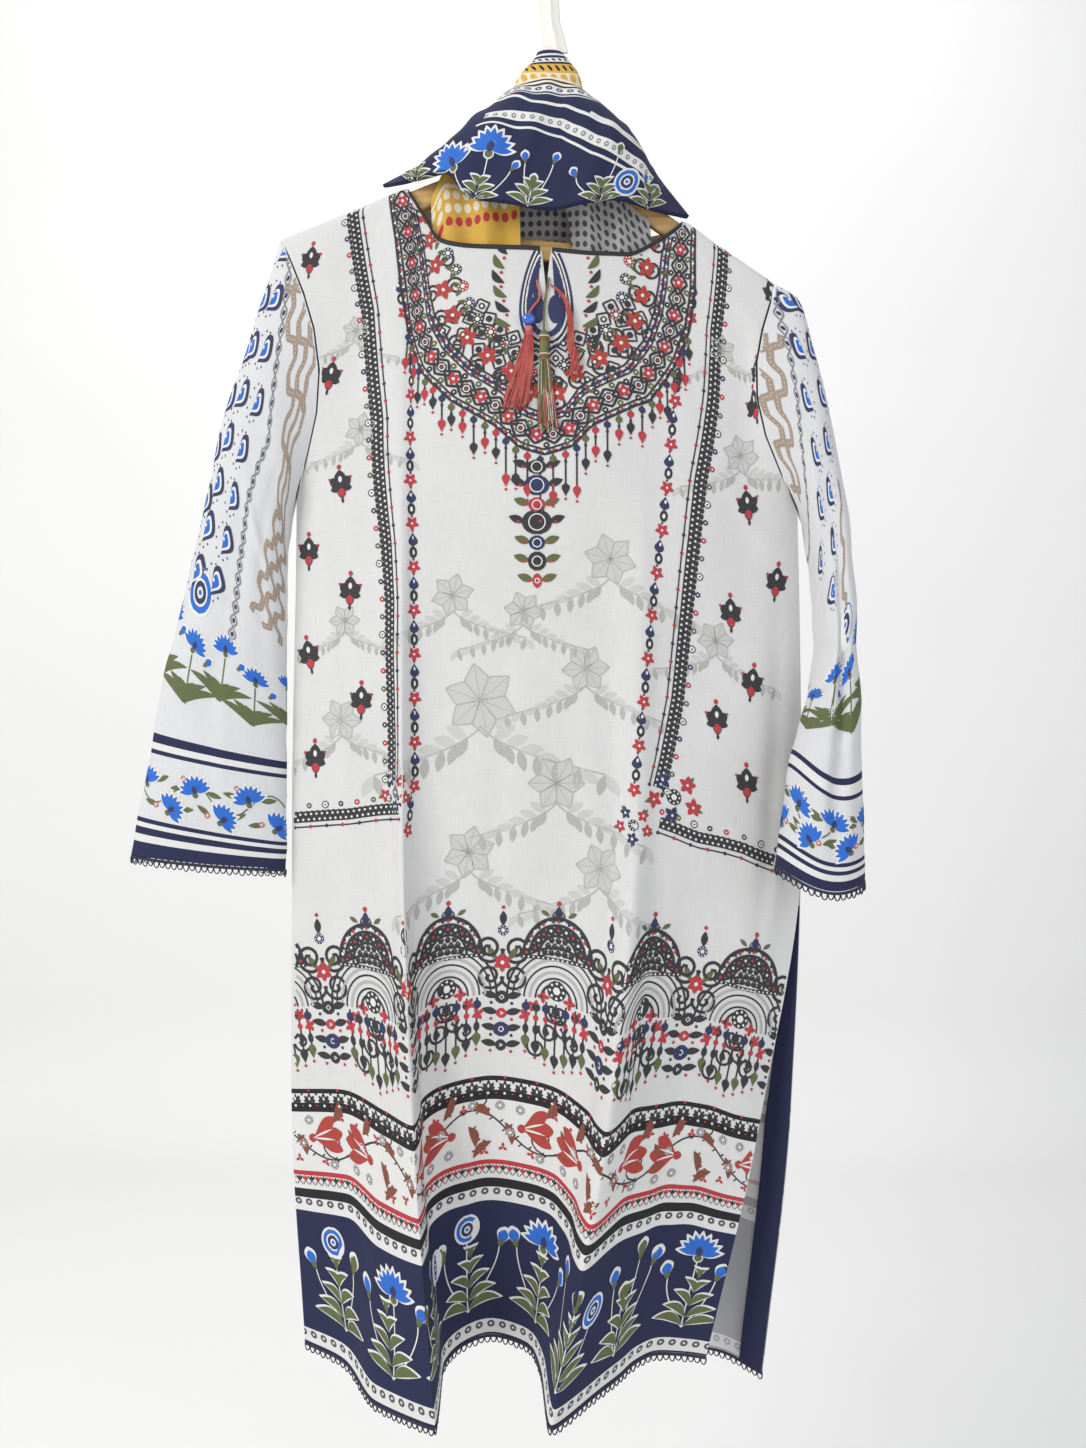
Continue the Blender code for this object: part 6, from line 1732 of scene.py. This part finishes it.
def dome(work, x, y):
    """One dome with its arch, standing on y, and the drops that hang under it."""
    angles = np.linspace(-math.pi / 2, math.pi / 2, 25)
    for radius, wide, ink in ((30, 3.4, "black"), (25.0, 2.4, "black"), (17, 2.4, "black")):
        arch = np.stack((x + radius * np.sin(angles), y - radius * 1.08 * np.cos(angles)), axis=1)
        work.line(arch, wide, ink, 1)
    for k, angle in enumerate(np.linspace(-1.5, 1.5, 19)):
        work.bead(x + 27.8 * math.sin(angle), y - 30 * math.cos(angle), 1.5,
                  ("crimson", "white", "navy")[k % 3], 2)
    for k, angle in enumerate(np.linspace(-1.3, 1.3, 9)):
        px, py = x + 21.2 * math.sin(angle), y - 23 * math.cos(angle)
        work.oval(px, py, 8.2, 8.2, "black", 1)
        work.bead(px, py, 1.3, "white" if k % 2 else "crimson", 2)
    for i in range(-2, 3):
        for j in range(3):
            px, py = x + 6.0 * i + 3.0 * (j % 2), y - 3.5 - 5.2 * j
            if (px - x) ** 2 + (py - y) ** 2 < 230:
                diamond = turned(((0, -3), (2.7, 0), (0, 3), (-2.7, 0)), px, py)
                work.line(diamond, 1.4, "black", 1, closed=True)
                work.bead(px, py, 1.5, "black", 1)
    work.line(((x - 33, y + 1.5), (x + 33, y + 1.5)), 3.0, "black", 1)
    for k in range(15):
        work.bead(x - 30 + 60 * k / 14, y + 1.5, 0.9, "white", 3)
    work.strip(x, y - 31, 12, 7.0, 0, "navy", 1)
    work.oval(x, y - 45, 4.4, 4.4, "crimson", 2)
    for hand in (-1, 1):
        work.curl(x + hand * 4, y - 35, 5.5, 1.5, "black", 1, 1.2, 0, hand)
        work.strip(x + hand * 8, y - 34, 9, 4.0, hand * 60, "olive", 1)
    for radius, ink, wide in ((44, "black", 2.0), (39, "black", 1.5), (34, "pale", 2.4), (29, "black", 1.5),
                              (24, "pale", 2.4), (19, "black", 1.6), (14, "black", 2.2)):
        stripe = np.stack((x + radius * np.sin(angles), y + 36 - radius * np.cos(angles)), axis=1)
        work.line(stripe, wide, ink, 1)
    for k in range(-3, 4):
        long = 30 + 16 * (1 - abs(k) / 4)
        work.line(((x + 9 * k, y + 38), (x + 9 * k, y + 38 + long)), 1.7, "black", 0)
        work.oval(x + 9 * k, y + 44, 7.6, 8.0, ("black", "navy")[k % 2], 1)
        work.oval(x + 9 * k, y + 53, 5.0, 5.6, "crimson", 1)
        work.strip(x + 9 * k, y + 38 + long + 9, 13, 8.0, 0, ("black", "olive")[k % 2], 1, "drop")
        work.bead(x + 9 * k, y + 38 + long + 11, 1.5, "crimson", 2)
        work.oval(x + 9 * k, y + 63, 5.4, 9.0, "black", 1)
    rosette(work, x, y + 27, 17, "black")
    for hand in (-1, 1):
        for rank in range(3):
            work.curl(x + hand * (6 + 9 * rank), y + 46 + 13 * rank, 9, 1.6, "black", 1, 2.2, 20 * rank, hand)
            star(work, x + hand * (12 + 8 * rank), y + 34 + 9 * rank, 6.0, "crimson", 4, 1, 30 * rank)


for k in range(6):
    x = DOME_FIRST + DOME_PITCH * k
    dome(arcade, x, DOME_BASE)
    between_x = x + DOME_PITCH / 2
    for hand in (-1, 1):
        arcade.curl(between_x + hand * 1.0, DOME_BASE - 4, 13, 2.0, "black", 1, 2.8, 0, hand)
        arcade.curl(between_x + hand * 1.0, DOME_BASE + 20, 12, 1.8, "black", 1, 2.6, 0, hand)
        arcade.strip(between_x + hand * 5, DOME_BASE + 6, 15, 5.6, hand * 35, "olive", 1)
    star(arcade, between_x, DOME_BASE + 8, 8.5, "crimson", 6, 2)
    arcade.oval(between_x, DOME_BASE + 8, 3.6, 3.6, "white", 3)
    rosette(arcade, between_x, DOME_BASE - 20, 9.5, "navy")
    arcade.strip(between_x, DOME_BASE - 24, 13, 6.5, 0, "black", 1)
    arcade.oval(between_x, DOME_BASE - 40, 3.6, 3.6, "crimson", 1)
    for row, (ink, wide, tall) in enumerate((("black", 8, 9), ("crimson", 6, 7), ("navy", 9, 10),
                                             ("black", 6, 8))):
        y = DOME_BASE + 38 + 14 * row
        arcade.oval(between_x, y, wide * 1.6, tall * 1.3, ink, 1)
        arcade.ring(between_x, y, wide * 0.26, 0.9, "white", 2)
        for hand in (-1, 1):
            arcade.strip(between_x + hand * 3, y, 15, 6.2, hand * 75, "black", 1)
            arcade.bead(between_x + hand * 9, y + 5, 1.5, ("black", "crimson")[row % 2], 1)
front_arcade = arcade.done("front_arcade_print", "lawn")

# Hem borders
# The same printed bands run round the front and the back: lotus buds on a black band, a tulip scroll,
# three-pointed sprouts, and plants with blue flowers on the navy hem.
LOTUS_PITCH = 14.4
SPROUT_PITCH = 6.0
SCROLL_PITCH = 62.0
SCROLL_GRAIN = 1058.0
LOTUS_GRAIN = 1024.5


def lotus_row(work, low, high):
    for k, x in enumerate(np.arange(low, high, LOTUS_PITCH)):
        for angle, long in ((0, 9), (-38, 8), (38, 8), (-70, 6.4), (70, 6.4)):
            work.strip(x, LOTUS_GRAIN, long, 3.6, angle, "black", 1)
        work.oval(x, 1021, 1.8, 3.2, "white", 2)
        work.bead(x, 1013.2, 1.4, "crimson" if k % 2 else "black", 3)
        work.bead(x - LOTUS_PITCH / 2, 1017, 1.2, "black", 2)
        work.bead(x, 1027.2, 1.3, "white", 2)
        work.bead(x - LOTUS_PITCH / 2, 1027.2, 0.9, "crimson", 2)


def tulip(work, x, y, turn, size=1.0):
    for angle, wide in ((-30, 9.5), (30, 9.5), (0, 12)):
        work.strip(x, y, 27 * size, wide * size, turn + angle, "brick", 1, "drop")
    for angle in (-13, 13):
        work.strip(x, y, 20 * size, 1.7 * size, turn + angle, "white", 2)
    work.oval(x, y, 7 * size, 7 * size, "brick", 2)


def scroll_band(work, low, high):
    for k, x in enumerate(np.arange(low, high, SCROLL_PITCH)):
        up = 1 if k % 2 else -1
        stem = [(x + s, SCROLL_GRAIN + up * 17 * math.sin(math.pi * s / SCROLL_PITCH)) for s in
                np.linspace(0, SCROLL_PITCH, 22)]
        work.line(stem, 1.5, "black", 0)
        for j, (sx, sy) in enumerate(stem[1::2]):
            work.strip(sx, sy, 4.6, 1.5, 50 if j % 2 else -130, "black", 0)
        curl_y = SCROLL_GRAIN + up * 4
        work.curl(x + 34, curl_y + up * 12, 13, 1.1, "black", 0, 1.4, 90 if up > 0 else -90, up)
        tulip(work, x + 14, SCROLL_GRAIN - up * 2, 80 if up > 0 else -80, 1.12)
        for dx, dy, angle in ((48, 10 * up, 60), (50, -12 * up, 130), (6, 14 * up, -20), (36, -16 * up, 20)):
            work.strip(x + dx, SCROLL_GRAIN + dy, 21, 7.4, angle * up, "brown", 1, bend=2.5)
            for tooth in range(4):
                side = moved(3.2, -4 - 4 * tooth, x + dx, SCROLL_GRAIN + dy, angle * up)
                work.strip(side[0], side[1], 3.4, 2.2, angle * up + 60, "brown", 1)
        for dx, dy in ((12, -18 * up), (56, 20 * up), (32, 21 * up), (4, 3 * up)):
            rosette(work, x + dx, SCROLL_GRAIN + dy, 8.4, "grey")
        for dx, dy in ((24, 19 * up), (60, -17 * up), (44, -21 * up)):
            star(work, x + dx, SCROLL_GRAIN + dy, 4.4, "crimson", 3, 1, 30 * k)


def sprout_row(work, low, high):
    for k, x in enumerate(np.arange(low, high, SPROUT_PITCH)):
        ink = "crimson" if k % 2 else "black"
        for angle in (-35, 0, 35):
            work.strip(x, 1095.5, 5.2, 1.9, angle, ink, 1)
        work.line(((x - 2.6, 1099), (x, 1095)), 0.7, "black", 0)
        work.line(((x + 2.6, 1099), (x, 1095)), 0.7, "black", 0)


def carnation(work, x, y, size=1.0, turn=0.0):
    for k in range(9):
        angle = turn - 80 + 20 * k
        work.strip(x, y, 21 * size, 7.6 * size, angle, "white", 1)
    for k in range(9):
        angle = turn - 80 + 20 * k
        work.strip(x, y, 17.5 * size, 5.6 * size, angle, "blue", 2)
    work.strip(x, y + 2 * size, 9 * size, 6.0 * size, turn, "navy", 3)
    work.oval(x, y + 3 * size, 8.5 * size, 8.5 * size, "white", 1)
    work.oval(x, y + 3 * size, 6.5 * size, 6.5 * size, "olive", 2)


def disc_flower(work, x, y, size=1.0):
    for radius, ink, level in ((9, "white", 1), (7.6, "blue", 2), (5.2, "white", 3), (4.2, "navy", 4),
                               (2.2, "white", 5)):
        work.oval(x, y, 2 * radius * size * 0.86, 2 * radius * size, ink, level)
    work.bead(x, y, 1.1 * size, "blue", 6)


def bell(work, x, y, turn, size=1.0, ink="blue"):
    work.strip(x, y, 15.5 * size, 10 * size, turn, "white", 1, "drop")
    work.strip(x, y, 13 * size, 7.4 * size, turn, ink, 2, "drop")
    work.strip(x, y, 6 * size, 4.4 * size, turn, "olive", 3)


def plant(work, x, foot, heads, size=1.0):
    """White stems that rise from one foot to their flowers, with tiers of olive leaves."""
    for dx, dy, kind in heads:
        bow = [(x + dx * (1 - (1 - s) ** 1.6), foot - dy * s) for s in np.linspace(0, 1, 12)]
        work.line(bow, 1.1, "white", 1)
        tip = bow[-1]
        lean = math.degrees(math.atan2(dx, dy)) * 0.7
        if kind == "carnation":
            carnation(work, tip[0], tip[1], 1.15 * size, lean)
        elif kind == "disc":
            disc_flower(work, tip[0], tip[1] - 4, 1.5 * size)
        else:
            bell(work, tip[0], tip[1], lean, 1.3 * size, "blue" if kind == "bell" else "olive")
    for tier, (rise, long, wide) in enumerate(((2, 30, 8.0), (10, 25, 7.4), (22, 21, 6.6), (36, 16, 5.6),
                                              (50, 12, 4.6))):
        for hand in (-1, 1):
            turn = hand * (74 - 11 * tier)
            for extra, ink, level in ((3.0, "white", 1), (0.0, "olive", 2)):
                work.strip(x, foot - rise, (long + extra) * size, (wide + extra * 0.7) * size, turn, ink,
                           level, bend=-hand * 4.0)


PLANTS = (
    # where, foot grain, heads: across, up, kind
    (-259, 1222, ((0, 70, "disc"), (-22, 46, "bell"), (20, 54, "bud"))),
    (-190, 1224, ((10, 68, "carnation"), (-22, 52, "bell"), (34, 50, "bell"))),
    (-122, 1223, ((0, 66, "bell"), (-20, 48, "bud"), (24, 58, "disc"))),
    (-58, 1224, ((-4, 74, "disc"), (26, 58, "bell"), (-26, 56, "bud"))),
    (10, 1224, ((0, 70, "carnation"), (-26, 60, "bell"), (28, 54, "bell"))),
    (78, 1224, ((0, 64, "bud"), (-22, 74, "bell"), (24, 52, "disc"))),
    (145, 1226, ((6, 78, "bud"), (-18, 62, "bell"), (24, 66, "bell"), (-4, 44, "bud"))),
    (218, 1224, ((-6, 74, "carnation"), (-28, 48, "bell"), (16, 50, "bell"))),
)


def hem_bands(chart, name, shift):
    low, high = chart["low"], chart["low"] + chart["sheet"].shape[1] * chart["step"]
    work = Print(chart)
    lotus_row(work, low + 4 + shift, high)
    scroll_band(work, low - 30 + shift, high)
    sprout_row(work, low + 3 + shift, high)
    made = work.done(name + "_hem_bands", "lawn")
    work = Print(chart)
    for x, foot, heads in PLANTS:
        plant(work, x + shift, foot, heads)
    return [made, work.done(name + "_hem_plants", "lawn")]


front_hem = hem_bands(front_chart, "front", 0.0)
back_hem = hem_bands(back_chart, "back", 9.0)

# Back prints
# Behind, the same small flowers stand in even rows and one arcade runs above the bands.
behind = Print(back_chart)
for row in range(9):
    for k in range(7):
        buti(behind, -198 + 66 * k + 33 * (row % 2), 300 + 64 * row, 0.95, 6 * math.sin(3.1 * k + row))
for k in range(5):
    dome(behind, -196 + DOME_PITCH * k, DOME_BASE)
back_scatter = behind.done("back_scattered_flowers", "lawn")

# Sleeve prints
# Dotted navy paisleys in columns, a diamond chain, a taupe meander strip, and blue flowers above the cuff.
PAISLEY_PITCH = 34.0


def paisley(work, x, y, size=1.0, turn=0.0):
    work.strip(x, y + 12 * size, 27 * size, 17 * size, turn, "navy", 1, "drop", bend=3.0 * size)
    work.strip(x, y + 9 * size, 19 * size, 11 * size, turn, "white", 2, "drop", bend=2.2 * size)
    work.strip(x, y + 7 * size, 14 * size, 7.5 * size, turn, "blue", 3, "drop", bend=1.6 * size)
    work.bead(x, y - 1, 1.4 * size, "white", 4)
    for k in range(11):
        angle = 2 * math.pi * k / 11
        work.bead(x + 10.4 * size * math.cos(angle), y + 1 + 13.5 * size * math.sin(angle), 0.95 * size,
                  "navy", 1)


def meander(work, path, offsets, amplitude):
    """Bold winding taupe lines side by side, each with a dotted centre."""
    spots, headings = work.along(path, 3.0)
    for rank, offset in enumerate(offsets):
        route = []
        for k, ((x, y), heading) in enumerate(zip(spots, headings)):
            sway = offset + amplitude * np.clip(2.2 * math.sin(k * 3.0 / 6.2 + 1.3 * rank), -1, 1)
            route.append(moved(sway, 0.0, x, y, heading))
        work.line(route, 5.6, "taupe", 0)
        for x, y in work.along(route, 3.4)[0]:
            work.bead(x, y, 0.7, "mist", 2)


def sleeve_prints(chart, name, low, high, columns, chain, taupe, offsets, foot):
    work = Print(chart)
    for column in columns:
        for x, y in work.along(at_pixel(chart, column), PAISLEY_PITCH)[0]:
            paisley(work, x, y, 1.02, 10)
    for (x, y), heading in zip(*work.along(at_pixel(chart, chain), 12.0)):
        work.line(turned(((0, -6), (4.6, 0), (0, 6), (-4.6, 0)), x, y, heading), 1.6, "grey", 1, closed=True)
        work.oval(x, y, 3.4, 4.6, "navy", 1)
    meander(work, at_pixel(chart, taupe), offsets, 4.4)
    for k, x in enumerate(np.linspace(low, high, 5)):
        tall = foot + 30 + 12 * (k % 2)
        carnation(work, x, tall, 0.8, 20 * math.sin(2 * k))
        for hand in (-1, 1):
            for rank in range(3):
                work.strip(x, tall + 44, 34 - 7 * rank, 6.4, hand * (64 - 20 * rank), "olive", 1,
                           bend=-hand * 4.0)
        work.line(((x, tall + 4), (x + 2, tall + 44)), 1.3, "olive", 0)
        bell(work, x + 13, tall + 10, 40, 0.8)
    disc_flower(work, low + 26, foot + 2, 2.0)
    first = work.done(name + "_print", "sleeve_print")
    work = Print(chart)
    band_top, band_foot = (366, 420) if name == "sleeve_left" else (359, 411)
    middle = (band_top + band_foot) / 2
    wave = [(x, middle + 12 * math.sin(x / 11.0)) for x in np.linspace(low - 4, high + 4, 60)]
    work.line(wave, 1.2, "olive", 0)
    for k, x in enumerate(np.linspace(low + 4, high - 4, 6)):
        y = middle + 10 * (1 if k % 2 else -1)
        carnation(work, x, y + 6, 0.86, 50 if k % 2 else -20)
        for hand in (-1, 1):
            work.strip(x + hand * 9, y + 4, 15, 5.0, hand * (60 + 20 * (k % 3)), "olive", 0)
        rosette(work, x + 12, middle - 14 * (1 if k % 2 else -1), 5.4, "crimson")
    return [first, work.done(name + "_cuff_print", "sleeve_print")]


LEFT_PAISLEYS = (((287, 248), (272, 300), (255, 403), (228, 523), (214, 580)),
                 ((262, 300), (238, 400), (212, 500), (196, 570)), ((238, 350), (214, 440), (200, 500)))
LEFT_CHAIN = ((290, 262), (268, 440), (232, 635))
LEFT_TAUPE = ((302, 275), (297, 400), (282, 520), (262, 625))
RIGHT_PAISLEYS = (((790, 300), (806, 380), (817, 450), (822, 560)),
                  ((806, 300), (824, 400), (832, 500), (834, 590)))
RIGHT_CHAIN = ((776, 300), (798, 400), (808, 560))
RIGHT_TAUPE = ((768, 330), (786, 430), (800, 500))
RIGHT_TAUPE_OUTER = ((838, 480), (842, 560), (843, 625))
left_sleeve_prints = sleeve_prints(left_chart, "sleeve_left", -66, 62, LEFT_PAISLEYS, LEFT_CHAIN, LEFT_TAUPE,
                                   (-16, -3, 10), 232)
right_sleeve_prints = sleeve_prints(right_chart, "sleeve_right", -40, 56, RIGHT_PAISLEYS, RIGHT_CHAIN,
                                    RIGHT_TAUPE, (-8, 4), 222)
outer_strip = Print(right_chart)
meander(outer_strip, at_pixel(right_chart, RIGHT_TAUPE_OUTER), (0,), 4.0)
right_sleeve_prints.append(outer_strip.done("sleeve_right_outer_strip", "sleeve_print"))

# Dupatta prints
# Blue carnations, bells and olive leaves, outlined in white, on the navy field of the hood.
HOOD_PLANTS = (
    # pixel of the foot, heads
    ((474, 200), ((4, 46, "carnation"), (-30, 34, "carnation"), (26, 30, "bell"))),
    ((528, 206), ((-10, 36, "bell"), (14, 40, "bell"), (0, 18, "bud"))),
    ((600, 208), ((22, 20, "disc"), (-26, 24, "bell"), (8, 44, "bud"))),
    ((648, 208), ((-6, 22, "bell"), (6, 12, "bud"))),
    ((420, 190), ((2, 20, "bell"), (-12, 10, "bud"))),
)
hood_work = Print(hood_chart, HOOD_LIFT)
for pixel, heads in HOOD_PLANTS:
    (x, y), = at_pixel(hood_chart, (pixel,))
    for dx, dy, kind in heads:
        bow = [(x + dx * (1 - (1 - s) ** 1.6), y - dy * s) for s in np.linspace(0, 1, 10)]
        hood_work.line(bow, 1.0, "white", 1)
        lean = math.degrees(math.atan2(dx, dy)) * 0.7
        if kind == "carnation":
            carnation(hood_work, bow[-1][0], bow[-1][1], 1.15, lean)
        elif kind == "disc":
            disc_flower(hood_work, bow[-1][0], bow[-1][1], 1.5)
        else:
            bell(hood_work, bow[-1][0], bow[-1][1], lean, 0.8, "blue" if kind == "bell" else "olive")
    for tier, (rise, long) in enumerate(((1, 20), (7, 16), (14, 12))):
        for hand in (-1, 1):
            for extra, ink, level in ((2.4, "white", 1), (0.0, "olive", 2)):
                hood_work.strip(x, y - rise, long + extra, 5.0 + extra * 0.7, hand * (70 - 14 * tier), ink,
                                level, bend=-hand * 2.5)
for pixels, wide, ink, level in (
        (((485, 116), (530, 117), (562, 124), (596, 140), (636, 162), (652, 180)), 9.5, "white", 0),
        (((476, 126), (512, 127), (562, 137), (592, 153), (636, 174), (650, 188)), 2.4, "white", 0),
        (((492, 103), (530, 101), (566, 106), (604, 122), (640, 148), (656, 170)), 3.2, "white", 0),
        (((590, 112), (622, 130), (648, 158)), 3.0, "white", 0)):
    hood_work.line(at_pixel(hood_chart, pixels), wide, ink, level)
band = at_pixel(hood_chart, ((487, 116), (530, 117), (562, 124), (596, 140), (636, 162), (650, 178)))
for k, (x, y) in enumerate(hood_work.along(band, 8.0)[0]):
    hood_work.oval(x, y, 4.4, 5.0, "grey", 2)
    hood_work.bead(x, y, 1.0, "white", 3)
hood_print = hood_work.done("dupatta_hood_print", "navy")
